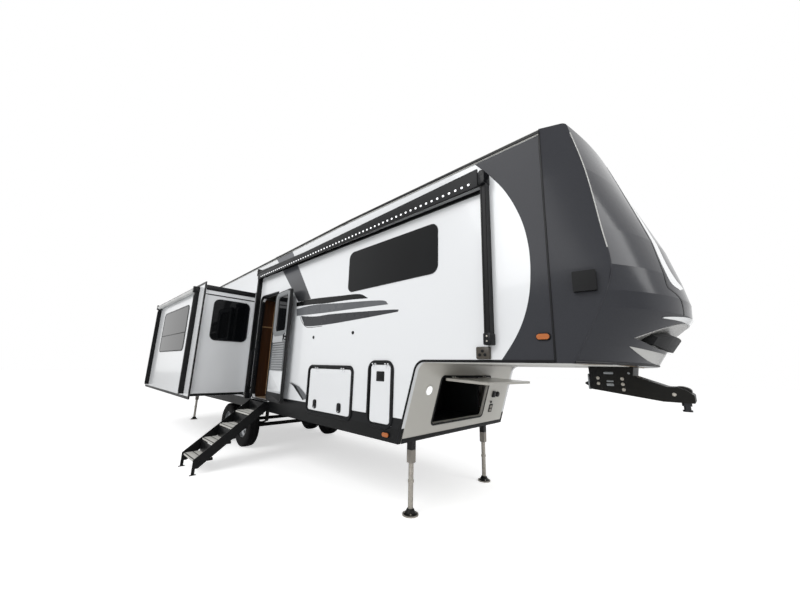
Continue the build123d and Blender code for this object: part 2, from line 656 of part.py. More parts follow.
def pane_places(face, box):
    """Plane of a pane's outline: the middle of an opening on a wall face."""
    along = face.x_dir
    up = Vector(0, 0, 1)
    return Plane(origin=face.origin + along * ((box[0] + box[1]) / 2) + up * ((box[2] + box[3]) / 2),
                 x_dir=face.x_dir, z_dir=face.z_dir)


with BuildPart() as window_glass:
    for face, box in PANES:
        with BuildSketch(pane_places(face, box)):
            RectangleRounded(box[1] - box[0] + 2 * GLASS_LAP, box[3] - box[2] + 2 * GLASS_LAP, 100)
        extrude(amount=GLASS)
save(window_glass.part, "window_glass")

# Room slides: shell, black trim with the awning over it, and glass

ROOMS = [
    # word, side, x limits, windows on the outer face, window in the front end (Y out, heights)
    ("curb", -1, SLIDE_X, [(SLIDE_X[0] + 1040.0, SLIDE_X[1] - 910.0, 1930.0, 2830.0)],
     (130.0, 760.0, 2130.0, 2880.0)),
    ("road", 1, ROAD_SLIDE_X, [
        (ROAD_SLIDE_X[0] + 700.0, ROAD_SLIDE_X[0] + 1850.0, 1930.0, 2830.0),
        (ROAD_SLIDE_X[1] - 1400.0, ROAD_SLIDE_X[1] - 450.0, 2130.0, 2830.0),
    ], None),
]
AWNING_IN = 340.0         # awning arms from the ends of the room
PAD = (200.0, 18.0)       # wear pads under the room, length and depth
for word, side, (x_low, x_high), windows, end_window in ROOMS:
    wide = x_high - x_low
    high = SLIDE_Z[1] - SLIDE_Z[0]
    middle = Plane(origin=((x_low + x_high) / 2, side * HALF, (SLIDE_Z[0] + SLIDE_Z[1]) / 2),
                   x_dir=(-side, 0, 0), z_dir=(0, side, 0))
    end_face = Plane(origin=(x_high, side * HALF, 0), x_dir=(0, side, 0), z_dir=(1, 0, 0))
    with BuildPart() as room:
        with BuildSketch(middle.offset(-SLIDE_TAIL)):
            Rectangle(wide, high)
            Rectangle(wide - 2 * SLIDE_WALL, high - 2 * SLIDE_WALL, mode=Mode.SUBTRACT)
        extrude(amount=SLIDE_OUT + SLIDE_TAIL - SLIDE_WALL)
        with BuildSketch(middle.offset(SLIDE_OUT - SLIDE_WALL)):
            Rectangle(wide, high)
            for low, top, z_low, z_high in windows:
                across = -side * ((low + top) / 2 - middle.origin.X)
                with Locations((across, (z_low + z_high) / 2 - middle.origin.Z)):
                    RectangleRounded(top - low, z_high - z_low, 80, mode=Mode.SUBTRACT)
        extrude(amount=SLIDE_WALL)
        if end_window:
            low, top, z_low, z_high = end_window
            with BuildSketch(end_face):
                with Locations(((low + top) / 2, end_face.y_dir.Z * (z_low + z_high) / 2)):
                    RectangleRounded(top - low, z_high - z_low, 80)
            extrude(amount=-SLIDE_WALL, mode=Mode.SUBTRACT)
    save(room.part, f"slide_{word}")

    with BuildPart() as panes:
        for low, top, z_low, z_high in windows:
            with BuildSketch(middle.offset(SLIDE_OUT)):
                across = -side * ((low + top) / 2 - middle.origin.X)
                with Locations((across, (z_low + z_high) / 2 - middle.origin.Z)):
                    RectangleRounded(top - low + 2 * GLASS_LAP, z_high - z_low + 2 * GLASS_LAP, 90)
            extrude(amount=GLASS)
        if end_window:
            low, top, z_low, z_high = end_window
            with BuildSketch(end_face):
                with Locations(((low + top) / 2, end_face.y_dir.Z * (z_low + z_high) / 2)):
                    RectangleRounded(top - low + 2 * GLASS_LAP, z_high - z_low + 2 * GLASS_LAP, 90)
            extrude(amount=GLASS)
    save(panes.part, f"slide_glass_{word}")

    with BuildPart() as trim:
        with BuildSketch(middle.offset(SLIDE_OUT - FLANGE)):
            Rectangle(wide + 2 * FLANGE_LAP, high + 2 * FLANGE_LAP)
            Rectangle(wide, high, mode=Mode.SUBTRACT)
        extrude(amount=FLANGE)
        with BuildSketch(middle.offset(SLIDE_OUT)):
            for end in (-1, 1):
                with Locations((end * (wide / 2 - AWNING_IN), 0)):
                    Rectangle(ARM[0], high - 60)
        extrude(amount=ARM[1])
        with BuildSketch(middle.offset(SLIDE_OUT)):
            for end in (-1, 1):
                with Locations((end * (wide / 2 - AWNING_IN), high / 2 - ROLLER_R - 20)):
                    Rectangle(ARM[0], 2 * ROLLER_R + 20)
        extrude(amount=AWNING_DEPTH)
        roller = Plane(middle.from_local_coords((-(wide / 2 - AWNING_IN), high / 2 - ROLLER_R - 20,
                                                 SLIDE_OUT + AWNING_DEPTH - ROLLER_R)),
                       x_dir=middle.y_dir, z_dir=middle.x_dir)
        with BuildSketch(roller):
            Circle(ROLLER_R - 2)
        extrude(amount=wide - 2 * AWNING_IN)
    save(trim.part, f"slide_trim_{word}")

with BuildPart() as slide_pads:
    for word, side, (x_low, x_high), windows, end_window in ROOMS:
        with BuildSketch(Plane.XY.offset(SLIDE_Z[0] - SLIDE_PLAY + 2)):
            with Locations(((x_low + x_high) / 2, side * (HALF - PAD[1] / 2 - 1))):
                with GridLocations((x_high - x_low - 2 * PAD[0]) / 3, 0, 4, 1):
                    Rectangle(*PAD)
        extrude(amount=SLIDE_PLAY - 2 - GAP)
save(slide_pads.part, "slide_pads")

# Main awning on the door side: two arms, the roller and the light rail under it

AWNING_X = (DOORWAY[0] - 150.0, SEAM_X - 550.0)
AWNING_Z = ROOF_Z - 330.0
AWNING_FOOT = (WALL_BASE_Z, DECK_Z + 160.0)
RAIL_Z = AWNING_Z - 85.0
with BuildPart() as awning:
    face = Plane(origin=(0, -HALF, 0), x_dir=(1, 0, 0), z_dir=(0, -1, 0))
    with BuildSketch(face):
        for x, foot in zip(AWNING_X, AWNING_FOOT):
            with Locations((x, (foot + AWNING_Z - ROLLER_R) / 2)):
                Rectangle(ARM[0], AWNING_Z - ROLLER_R - foot)
    extrude(amount=ARM[1])
    with BuildSketch(face.offset(ROOF_LIP + 2)):
        for x in AWNING_X:
            with Locations((x, AWNING_Z - 5)):
                Rectangle(ARM[0], 2 * ROLLER_R + 10)
    extrude(amount=AWNING_DEPTH - ROOF_LIP - 2)
    with BuildSketch(face):
        with Locations(((AWNING_X[0] + AWNING_X[1]) / 2, RAIL_Z)):
            Rectangle(AWNING_X[1] - AWNING_X[0] - ARM[0] - 2, 36)
    extrude(amount=22)
    with BuildSketch(Plane(origin=(AWNING_X[0], -HALF - AWNING_DEPTH + ROLLER_R, AWNING_Z),
                           x_dir=(0, 1, 0), z_dir=(1, 0, 0))):
        Circle(ROLLER_R)
    extrude(amount=AWNING_X[1] - AWNING_X[0])
save(awning.part, "awning")

# Grab handle beside the doorway: a bent tube between two feet

HANDLE_R = 13.0
HANDLE_OUT = 80.0         # tube's middle line off the wall
HANDLE_Z = (FLOOR_TOP_Z + 150.0, FLOOR_TOP_Z + 950.0)
HANDLE_FOOT = (52.0, 6.0)  # width and thickness
handle_x = (AWNING_X[0] + ARM[0] / 2 + DOORWAY[0]) / 2
with BuildPart() as grab_handle:
    face = Plane(origin=(handle_x, -HALF, 0), x_dir=(1, 0, 0), z_dir=(0, -1, 0))
    with BuildLine():
        grip = Polyline(
            face.from_local_coords((0, HANDLE_Z[0], 0)),
            face.from_local_coords((0, HANDLE_Z[0] + HANDLE_OUT, HANDLE_OUT)),
            face.from_local_coords((0, HANDLE_Z[1] - HANDLE_OUT, HANDLE_OUT)),
            face.from_local_coords((0, HANDLE_Z[1], 0)),
        )
    with BuildSketch(Plane(origin=grip @ 0, z_dir=grip % 0)):
        Circle(HANDLE_R)
    sweep(path=grip, transition=Transition.RIGHT)
    split(bisect_by=face, keep=Keep.TOP)
    with BuildSketch(face):
        with Locations((0, HANDLE_Z[0]), (0, HANDLE_Z[1])):
            RectangleRounded(HANDLE_FOOT[0], 2 * HANDLE_FOOT[0], HANDLE_FOOT[0] / 2 - 1)
    extrude(amount=HANDLE_FOOT[1])
save(grab_handle.part, "grab_handle")

# Entry steps: two stringers, four treads, feet on the ground

STEP_X = door_x + 80.0
STEP_W = 640.0
STEP_COUNT = 4
STEP_PITCH = 245.0
TREAD = (250.0, 34.0)
STRINGER_T = 14.0
rise = FLOOR_TOP_Z / (STEP_COUNT + 1)
step_plane = Plane(origin=(STEP_X, 0, 0), x_dir=(0, -1, 0), z_dir=(-1, 0, 0))
foot_y = HALF + 60 + STEP_PITCH * (STEP_COUNT + 0.1)
with BuildPart() as entry_steps:
    for end in (-1, 1):
        with BuildSketch(step_plane.offset(end * (STEP_W / 2 - STRINGER_T / 2))):
            with BuildLine():
                Polyline(
                    (HALF, FLOOR_TOP_Z - 30), (HALF, FLOOR_TOP_Z - 150), (foot_y - 60, 90), (foot_y + 20, 90),
                    (foot_y + 20, 215), (HALF + 90, FLOOR_TOP_Z - 30),
                    close=True,
                )
            make_face()
            with Locations((foot_y, 50)):
                Rectangle(44, 100)
            with Locations((foot_y, 6)):
                Rectangle(90, 12)
        extrude(amount=STRINGER_T / 2, both=True)
    for i in range(STEP_COUNT):
        with BuildSketch(step_plane):
            with Locations((HALF + 75 + STEP_PITCH * (i + 0.5), rise * (STEP_COUNT - i) - TREAD[1] / 2)):
                Rectangle(*TREAD)
        extrude(amount=STEP_W / 2 - STRINGER_T, both=True)
save(entry_steps.part, "entry_steps")

# Things on the roof and at the rear

ROOF_UNITS = [
    # station, length, width, height
    (BREAK_X + 1075.0, 1000.0, 720.0, 190.0),
    (REAR_X + 2975.0, 1000.0, 720.0, 190.0),
    (BREAK_X - 875.0, 380.0, 380.0, 110.0),
    (REAR_X + 1175.0, 380.0, 380.0, 110.0),
]
with BuildPart() as roof_units:
    for x, long, wide, tall in ROOF_UNITS:
        slope = 0.0 if x >= BREAK_X else (ROOF_Z - ROOF_REAR_Z) / (BREAK_X - REAR_X)
        with BuildSketch(Plane(origin=(x, 0, roof_z(x)), x_dir=(0, 1, 0), z_dir=(-slope, 0, 1))):
            RectangleRounded(wide, long, 80)
        extrude(amount=tall, taper=8)
save(roof_units.part, "roof_units")

LADDER_Y = 340.0 - HALF
LADDER_W = 340.0
LADDER_OUT = 75.0
LADDER_R = 12.5
LADDER_Z = (WALL_BASE_Z + 120.0, ROOF_REAR_Z - 140.0)
RUNGS = 8
with BuildPart() as ladder:
    for end in (-1, 1):
        y = LADDER_Y + end * LADDER_W / 2
        with BuildSketch(Plane.XY.offset(LADDER_Z[0])):
            with Locations((REAR_X - LADDER_OUT, y)):
                Circle(LADDER_R)
        extrude(amount=LADDER_Z[1] - LADDER_Z[0])
        for z in (LADDER_Z[0] + 60, (LADDER_Z[0] + LADDER_Z[1]) / 2, LADDER_Z[1] - 60):
            with BuildSketch(Plane(origin=(REAR_X, y, z), x_dir=(0, 1, 0), z_dir=(-1, 0, 0))):
                Circle(LADDER_R - 2)
            extrude(amount=LADDER_OUT)
    for i in range(RUNGS):
        z = LADDER_Z[0] + 130 + i * (LADDER_Z[1] - LADDER_Z[0] - 260) / (RUNGS - 1)
        with BuildSketch(Plane(origin=(REAR_X - LADDER_OUT, LADDER_Y - LADDER_W / 2, z),
                               x_dir=(1, 0, 0), z_dir=(0, 1, 0))):
            Circle(LADDER_R - 2)
        extrude(amount=LADDER_W)
save(ladder.part, "rear_ladder")

BUMPER = (100.0, 100.0, WIDTH - 140.0)
BUMPER_Z = 900.0
with BuildPart() as bumper:
    with Locations((REAR_X - BUMPER_REACH + BUMPER[0] / 2, 0, BUMPER_Z)):
        Box(BUMPER[0], BUMPER[2], BUMPER[1])
    for side in (-1, 1):
        with Locations((REAR_X - (BUMPER_REACH - BUMPER[0]) / 2, side * RAIL_Y, BUMPER_Z)):
            Box(BUMPER_REACH - BUMPER[0], RAIL_W, BUMPER[1])
save(bumper.part, "rear_bumper")

SIDE_MARKERS = [
    # station, height
    (SEAM_X - 80.0, DECK_Z + 215.0),
    (FOOT_X - 190.0, BELLY_Z + 75.0),
    (REAR_X + 90.0, BELLY_Z + 75.0),
]
with BuildPart() as marker_lamps:
    for side in (-1, 1):
        with BuildSketch(Plane(origin=(0, side * HALF, 0), x_dir=(1, 0, 0), z_dir=(0, side, 0))):
            for x, z in SIDE_MARKERS:
                with Locations((x, -side * z)):
                    SlotOverall(104, 46)
        extrude(amount=20)
save(marker_lamps.part, "marker_lamps")

TAIL_LAMPS = (HALF - 90.0, WALL_BASE_Z + 250.0, 90.0, 300.0)
with BuildPart() as tail_lamps:
    with BuildSketch(Plane(origin=(REAR_X, 0, 0), x_dir=(0, -1, 0), z_dir=(-1, 0, 0))):
        for side in (-1, 1):
            with Locations((side * TAIL_LAMPS[0], TAIL_LAMPS[1])):
                RectangleRounded(TAIL_LAMPS[2], TAIL_LAMPS[3], 40)
    extrude(amount=28)
save(tail_lamps.part, "tail_lamps")

CAP_VENT = (SEAM_X + 250.0, DECK_Z + 640.0, 165.0, 50.0)
with BuildPart() as cap_vents:
    up, crease_back, crease_in, nose_back = min(CAP_SECTIONS, key=lambda section: section[1])
    for side in (-1, 1):
        out = Vector(crease_in, side * (NOSE_X - crease_back - SEAM_X), 0)
        face = Plane(origin=(CAP_VENT[0], side * (HALF - CAP_WALL), CAP_VENT[1]), x_dir=(0, 0, 1), z_dir=out)
        with BuildSketch(face):
            RectangleRounded(CAP_VENT[2], CAP_VENT[2], 8)
        extrude(amount=CAP_VENT[3])
    add(front_cap.part, mode=Mode.SUBTRACT)
save(cap_vents.part, "cap_vents")

# Cabinet beside the doorway, seen through it

CABINET = (60.0, 560.0, 1950.0)
with BuildPart() as cabinet:
    with Locations((DOORWAY[0] - 65, -INNER + GAP + CABINET[1] / 2, FLOOR_TOP_Z + CABINET[2] / 2)):
        Box(*CABINET)
save(cabinet.part, "entry_cabinet")
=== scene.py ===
# %% [markdown]
# A fifth wheel travel trailer stands parked with its side rooms out.  The solid model comes
# in as a fixed frame: its walls, frame, wheels and doors already have their true sizes, so
# this file only adds finishes, thin trim and the small things that a solid model leaves out.

# %% Load the frame
import json
import math
import bpy
import numpy as np
from mathutils import Matrix, Vector


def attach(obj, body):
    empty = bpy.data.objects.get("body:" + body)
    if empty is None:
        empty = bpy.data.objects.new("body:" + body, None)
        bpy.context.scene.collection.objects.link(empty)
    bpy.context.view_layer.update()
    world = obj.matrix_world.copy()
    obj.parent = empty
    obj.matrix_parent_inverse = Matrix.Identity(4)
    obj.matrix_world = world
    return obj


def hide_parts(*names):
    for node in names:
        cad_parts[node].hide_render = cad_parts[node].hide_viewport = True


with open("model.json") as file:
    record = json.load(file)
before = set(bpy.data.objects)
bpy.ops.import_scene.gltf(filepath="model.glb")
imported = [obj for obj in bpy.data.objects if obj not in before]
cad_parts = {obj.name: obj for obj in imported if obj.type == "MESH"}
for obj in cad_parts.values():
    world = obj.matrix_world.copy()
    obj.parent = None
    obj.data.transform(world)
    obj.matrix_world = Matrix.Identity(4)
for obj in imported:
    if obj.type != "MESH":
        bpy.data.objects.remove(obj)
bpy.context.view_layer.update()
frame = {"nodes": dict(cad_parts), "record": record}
nodes = frame["nodes"]

# %% [markdown]
# The photograph was taken close to the nose with a very wide lens, from about eye height on
# the door side.  The camera therefore stands only four metres out, and its matrix is built
# from a heading, a pitch and a roll: the forward vector comes first, then right and up.

# %% Camera
EYE = Vector((6.065, -3.966, 1.663))
HEADING, PITCH, ROLL = map(math.radians, (133.788, 11.958, 1.483))
FOCAL_PX, FRAME_PX, SENSOR_MM = 319.5, 800, 36

level = math.cos(PITCH)
forward = Vector((math.cos(HEADING) * level, math.sin(HEADING) * level, math.sin(PITCH)))
right = forward.cross(Vector((0, 0, 1))).normalized()
up = right.cross(forward)
right_r = right * math.cos(ROLL) + up * math.sin(ROLL)
up_r = up * math.cos(ROLL) - right * math.sin(ROLL)

camera_data = bpy.data.cameras.new("eye")
camera_data.sensor_width = SENSOR_MM
camera_data.lens = SENSOR_MM * FOCAL_PX / FRAME_PX
camera_data.clip_end = 200
camera = bpy.data.objects.new("eye", camera_data)
camera.matrix_world = Matrix.Translation(EYE) @ Matrix((right_r, up_r, -forward)).transposed().to_4x4()
bpy.context.scene.collection.objects.link(camera)
bpy.context.scene.camera = camera
bpy.context.scene.view_settings.view_transform = "Standard"
print("lens", round(camera_data.lens, 2), "mm")

# %% [markdown]
# Colours are written as the hex values that a paint chart or a screen would give.  Blender
# mixes light in linear values, so one function converts them.  A second small function adds
# a shader node, sets its fields and joins its inputs, which keeps every material short.
# Each material also says which slot of the record its pieces belong to, and the first one
# made for a slot is the finish of the solid model's own parts there.  A finish that only those
# parts wear needs no name in this file.

# %% Colour and node helpers
SLOTS, FINISHES = {}, {}


def linear(hex_colour):
    """sRGB hex to linear RGBA: below 0.04045 divide by 12.92, else ((c + 0.055) / 1.055) ^ 2.4."""
    c = np.array([int(hex_colour[i:i + 2], 16) / 255 for i in (0, 2, 4)])
    c = np.where(c <= 0.04045, c / 12.92, ((c + 0.055) / 1.055) ** 2.4)
    return (*c.tolist(), 1.0)


def add_node(tree, kind, values=None, **settings):
    """Add a node, set its fields, then fill its inputs: a socket is linked, anything else is stored."""
    node = tree.nodes.new("ShaderNode" + kind)
    for key, value in settings.items():
        setattr(node, key, value)
    for key, value in (values or {}).items():
        if isinstance(value, bpy.types.NodeSocket):
            tree.links.new(value, node.inputs[key])
        else:
            node.inputs[key].default_value = value
    return node


def new_material(name, slot=None, **shader):
    """A material with one Principled shader; the keywords are its socket names with underscores."""
    material = bpy.data.materials.new(name)
    SLOTS[material.name] = slot
    FINISHES.setdefault(slot, material)
    material.use_nodes = True
    surface = material.node_tree.nodes["Principled BSDF"]
    for key, value in shader.items():
        surface.inputs[key.replace("_", " ")].default_value = value
    return material, material.node_tree, surface


def object_point(tree, scale=(1, 1, 1)):
    """The point on the object in metres, stretched along an axis where the scale is less than one."""
    place = add_node(tree, "TexCoord")
    return add_node(tree, "Mapping", {"Vector": place.outputs["Object"], "Scale": scale}).outputs[0]


# %% [markdown]
# The walls of such a trailer are fibreglass sheet with a sprayed gel coat: smooth, bright and
# a little wavy, because the thin skin follows the foam behind it.  The waves are only a
# fraction of a millimetre high but show in every reflection, so they are a low, wide bump.

# %% Gel coat finishes
WAVE_M, SKIN_GRAIN_M, FLAKE_M = 0.35, 0.004, 0.0025


def gelcoat(name, slot, hex_colour, roughness, wave_mm=0.4, flake=0.0, gloss=0.5, coat=0.4):
    """Gloss over fibreglass: wide waves bend the reflections, a 4 mm grain is the skin's own, and
    flakes 2.5 mm wide, drawn coarser than real ones so that they show, lighten the colour by up to flake."""
    material, tree, surface = new_material(name, slot, Base_Color=linear(hex_colour), Roughness=roughness,
        IOR=1.5, Specular_IOR_Level=gloss, Coat_Weight=coat, Coat_Roughness=0.06)
    point = object_point(tree)
    waves = add_node(tree, "TexNoise", {"Vector": point, "Scale": 1 / WAVE_M, "Detail": 2.0})
    grain = add_node(tree, "TexNoise", {"Vector": point, "Scale": 1 / SKIN_GRAIN_M, "Detail": 1.0})
    bump = add_node(tree, "Bump", {"Height": waves.outputs[0], "Distance": wave_mm / 1000 * 8,
        "Strength": 0.2})
    fine = add_node(tree, "Bump", {"Height": grain.outputs[0], "Distance": 0.00012, "Strength": 0.5,
        "Normal": bump.outputs[0]})
    tree.links.new(fine.outputs[0], surface.inputs["Normal"])
    dust = add_node(tree, "TexNoise", {"Vector": point, "Scale": 1.3, "Detail": 6.0, "Roughness": 0.6})
    shade = add_node(tree, "MapRange", {"Value": dust.outputs[0], "From Min": 0.35, "From Max": 0.75,
        "To Min": roughness * 0.93, "To Max": roughness * 1.12})
    tree.links.new(shade.outputs[0], surface.inputs["Roughness"])
    if flake:
        cells = add_node(tree, "TexVoronoi", {"Vector": point, "Scale": 1 / FLAKE_M})
        dark = linear(hex_colour)
        light = tuple(min(1.0, c * (1 + flake)) for c in dark[:3]) + (1.0,)
        mix = add_node(tree, "Mix", {0: cells.outputs["Color"], 6: dark, 7: light}, data_type="RGBA")
        tree.links.new(mix.outputs[2], surface.inputs["Base Color"])
    return material


# Sprayed white over sheet: bright and clean, with slow ripples in what it mirrors.
white_gelcoat = gelcoat("white_gelcoat_fibreglass", "gelcoat_white", "e6e8ea", 0.22)
# Moulded dark metallic: deep grey, with a faint sparkle and soft wide highlights.
graphite_gelcoat = gelcoat("graphite_gelcoat_fibreglass", "gelcoat_graphite", "36373b", 0.15, flake=0.25,
    gloss=0.12, coat=0.0)
# Painted sheet of a warm silver grey: calmer than the gel coat, with blurred reflections.
gelcoat("warm_silver_painted_panel", "panel_silver", "c6c4bd", 0.32)
print("gel coats ready")

# %% [markdown]
# Most of the rest is coated steel, moulded plastic, rubber or bare metal.  They differ in
# three things: how wide the highlight is, how coarse the surface is under a raking light, and
# how much dust sits on them.  One function takes those three from real sizes in millimetres.

# %% Coated, moulded and bare finishes
def grained(name, slot, hex_colour, roughness, grain_mm, height_mm, second_hex=None, patch_m=0.5,
        metallic=0.0, stretch=(1, 1, 1), gloss=0.5):
    """A grain of a given width and height; colour and roughness drift over patch_m metres."""
    material, tree, surface = new_material(name, slot, Base_Color=linear(hex_colour), Roughness=roughness,
        Metallic=metallic, Specular_IOR_Level=gloss)
    point = object_point(tree, scale=stretch)
    grain = add_node(tree, "TexNoise", {"Vector": point, "Scale": 1000 / grain_mm, "Detail": 3.0})
    patch = add_node(tree, "TexNoise", {"Vector": point, "Scale": 1 / patch_m, "Detail": 5.0,
        "Roughness": 0.6})
    bump = add_node(tree, "Bump", {"Height": grain.outputs[0], "Distance": height_mm / 1000,
        "Strength": 0.6})
    tree.links.new(bump.outputs[0], surface.inputs["Normal"])
    if second_hex:
        ramp = add_node(tree, "MapRange", {"Value": patch.outputs[0], "From Min": 0.35, "From Max": 0.7})
        colour = add_node(tree, "Mix", {0: ramp.outputs[0], 6: linear(hex_colour), 7: linear(second_hex)},
            data_type="RGBA")
        tree.links.new(colour.outputs[2], surface.inputs["Base Color"])
    rough = add_node(tree, "MapRange", {"Value": patch.outputs[0], "From Min": 0.3, "From Max": 0.75,
        "To Min": roughness * 0.8, "To Max": min(1.0, roughness * 1.3)})
    tree.links.new(rough.outputs[0], surface.inputs["Roughness"])
    return material


BLACK_GLOSS = 0.18


def dull_black(*looks, **more):
    """A grained finish whose gloss is low, as on a black that scatters what little it reflects."""
    return grained(*looks, gloss=BLACK_GLOSS, **more)


# Powder coat on aluminium: a pebbled black that catches only a dull light.
black_coat = dull_black("black_powder_coated_aluminium", "trim_black", "0c0d0e", 0.34, 1.6, 0.05, "121314")
# Brushed enamel on the chassis: nearly black, browner where road dust has settled.
frame_coat = dull_black("black_chassis_enamel", "frame_steel", "0c0c0d", 0.42, 3.0, 0.12, "191814")
# Rolled rubber sheet: chalky and matt, with grey patches where rain has dried.
roof_skin = grained("white_rubber_roof_membrane", "roof_membrane", "d9d9d4", 0.7, 4.0, 0.2,
    "c4c3bb", patch_m=0.9)
# Printed vinyl plank: long brown streaks along the trailer.
grained("oak_pattern_vinyl_floor", "floor_board", "8f7a60", 0.5, 30.0, 0.1, "6f5b44",
    patch_m=0.12, stretch=(0.15, 1, 1))
# Extruded plastic sheet under the floor: dull black with mud coloured patches.
dull_black("black_corrugated_belly_sheet", "belly_sheet", "17181a", 0.6, 8.0, 0.4, "2a2825")
# Vacuum formed liner: a matt black that swallows the light in the bays.
dull_black("black_moulded_bay_liner", "liner_black", "101112", 0.55, 1.2, 0.1, "191a1b")
# Hot dipped zinc: spangles about 20 mm wide, light and dark.
zinc_steel = grained("galvanised_steel_tube", "zinc_steel", "c0bbb2", 0.45, 14.0, 0.02, "97928a",
    patch_m=0.02, metallic=0.6)
# Machined cast wheel: bright, with a fine turning mark.
grained("machined_alloy_wheel", "wheel_alloy", "b9bbbd", 0.3, 2.0, 0.03, "a7a9ab", metallic=1.0)
# Cured tread rubber: very matt, a little brown where it wears.
tyre_rubber = dull_black("carbon_black_tyre_rubber", "tyre_rubber", "101012", 0.72, 2.5, 0.25,
    "1a1919", patch_m=0.2)
# Moulded door skin: an even satin grey.
grained("satin_grey_moulded_door_skin", "door_panel", "c3c5c7", 0.38, 1.5, 0.06, "b9bbbd")
# Foil over board: dark upright grain, slightly glossy.
grained("walnut_foil_cabinet_panel", "cabinet_wood", "4c2d18", 0.42, 40.0, 0.05, "2f1b0e",
    patch_m=0.05, stretch=(1, 1, 0.08))
# Cut nylon block: plain dark grey with a soft sheen.
wear_pad = dull_black("black_nylon_wear_pad", "wear_pad", "232527", 0.5, 2.0, 0.1)
# Blow moulded shroud: warm white, slightly rough from the mould.
unit_white = grained("white_moulded_air_unit_shroud", "unit_white", "e2e2de", 0.45, 1.5, 0.08, "cfcfc9")
# Turned steel under a film of grease: a dark mirror with smears.
grained("greased_kingpin_steel", "machined_steel", "3f4042", 0.33, 3.0, 0.04,
    "2a2a2b", metallic=1.0)
# Tinted window glass, drawn opaque: black, with clear reflections and a slow ripple.
grained("dark_tinted_glass", "tinted_glass", "08090b", 0.04, 400.0, 0.05, "0d0f11",
    patch_m=0.8, gloss=0.2)

# %% [markdown]
# A landing leg is one tube with two finishes, a black sleeve above and bare zinc below, so its
# colour switches at the sleeve's edge.  Lamp lenses are clear plastic with prisms inside.

# %% Legs and lamp lenses
SLEEVE_EDGE = 0.705
# Painted sleeve over plated tube: a sharp ring between flat black and scuffed grey metal.
two_tone_leg, tree, surface = new_material("black_sleeve_over_zinc_leg", "zinc_steel", Roughness=0.4,
    Specular_IOR_Level=0.3)
height = add_node(tree, "SeparateXYZ", {0: object_point(tree)})
above = add_node(tree, "Math", {0: height.outputs["Z"], 1: SLEEVE_EDGE}, operation="GREATER_THAN")
scuffs = add_node(tree, "TexNoise", {"Vector": object_point(tree, scale=(1, 1, 0.1)),
    "Scale": 60.0, "Detail": 3.0})
metal = add_node(tree, "Mix", {0: scuffs.outputs[0], 6: linear("a6a199"), 7: linear("7d7872")},
    data_type="RGBA")
coats = add_node(tree, "Mix", {0: above.outputs[0], 6: metal.outputs[2], 7: linear("101011")},
    data_type="RGBA")
tree.links.new(coats.outputs[2], surface.inputs["Base Color"])


def lens(name, slot, hex_colour, glow):
    """Moulded acrylic over a lamp: cells 6 mm wide stand for the prisms that spread its light."""
    material, tree, surface = new_material(name, slot, Base_Color=linear(hex_colour), Roughness=0.12,
        Coat_Weight=0.5, Emission_Color=linear(hex_colour), Emission_Strength=glow)
    prisms = add_node(tree, "TexVoronoi", {"Vector": object_point(tree), "Scale": 1 / 0.006})
    bump = add_node(tree, "Bump", {"Height": prisms.outputs["Distance"], "Distance": 0.0006,
        "Strength": 0.8})
    tree.links.new(bump.outputs[0], surface.inputs["Normal"])
    return material


# Acrylic lenses: saturated amber and red that sparkle in the light, and a lit white one.
lens("amber_acrylic_lens", "lamp_amber", "b05c0c", 0.0)
red_lens = lens("red_acrylic_lens", "lamp_red", "8c1411", 0.05)
white_lamp = lens("white_lamp_lens", "unit_white", "f4f6f8", 0.9)
print("finishes ready:", len(SLOTS))

# %% [markdown]
# Each node of the solid model keeps its shape and only gets its finish here, through the slot
# that its record gives it.

# %% Finish the solid model
slot_of = {part["node"]: part["material_slot"] for part in frame["record"]["subparts"]}
for name, node in nodes.items():
    node.data.materials.clear()
    node.data.materials.append(two_tone_leg if name == "leg_tubes" else FINISHES[slot_of[name]])
print("finished", len(nodes), "nodes")

# %% [markdown]
# Everything that follows is thin trim, graphics and hardware on the solid model.  Nearly all of
# it is the same form: a closed loop of points that is repeated along some path.  One function
# joins such loops into a skin and turns the faces outward by the sign of the enclosed volume.

# %% Skins through closed loops
ROOT = "trailer"
SHARP_EDGE = math.radians(32)


def skin(name, tubes, material, body=ROOT, ring=False, slot=None):
    """Quads between neighbouring loops; each tube is an array (stations, points round the loop, 3).
    A ring joins its last loop to its first, any other tube is closed by its two end loops.  The
    volume is a sixth of the sum of the triple products of each triangle, and its sign turns the faces."""
    verts, faces, base = [], [], 0
    for tube in tubes:
        tube = np.asarray(tube, float)
        rows, cols = tube.shape[:2]
        index = np.arange(rows * cols).reshape(rows, cols)
        a = index if ring else index[:-1]
        b = np.roll(index, -1, axis=0) if ring else index[1:]
        quads = np.stack([a, np.roll(a, -1, 1), np.roll(b, -1, 1), b], axis=-1).reshape(-1, 4)
        flat = tube.reshape(-1, 3)
        corner = flat[quads] - flat.mean(axis=0)
        volume = (np.cross(corner[:, 1], corner[:, 2]) * corner[:, 0]).sum() + \
                 (np.cross(corner[:, 2], corner[:, 3]) * corner[:, 0]).sum()
        ends = [] if ring else [index[0][::-1], index[-1]]
        for end in ends:
            loop = flat[end] - flat.mean(axis=0)
            volume += (np.cross(loop[1:-1], loop[2:]) * loop[0]).sum()
        step = slice(None, None, -1 if volume < 0 else 1)
        faces += (quads[:, step] + base).tolist() + [(end[step] + base).tolist() for end in ends]
        verts.append(flat)
        base += len(flat)
    mesh = bpy.data.meshes.new(name)
    mesh.from_pydata(np.concatenate(verts).tolist(), [], faces)
    mesh.materials.append(material)
    mesh.shade_smooth()
    mesh.set_sharp_from_angle(angle=SHARP_EDGE)
    piece = bpy.data.objects.new(name, mesh)
    bpy.context.scene.collection.objects.link(piece)
    slot = slot or SLOTS[material.name]
    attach(piece, body)
    return piece


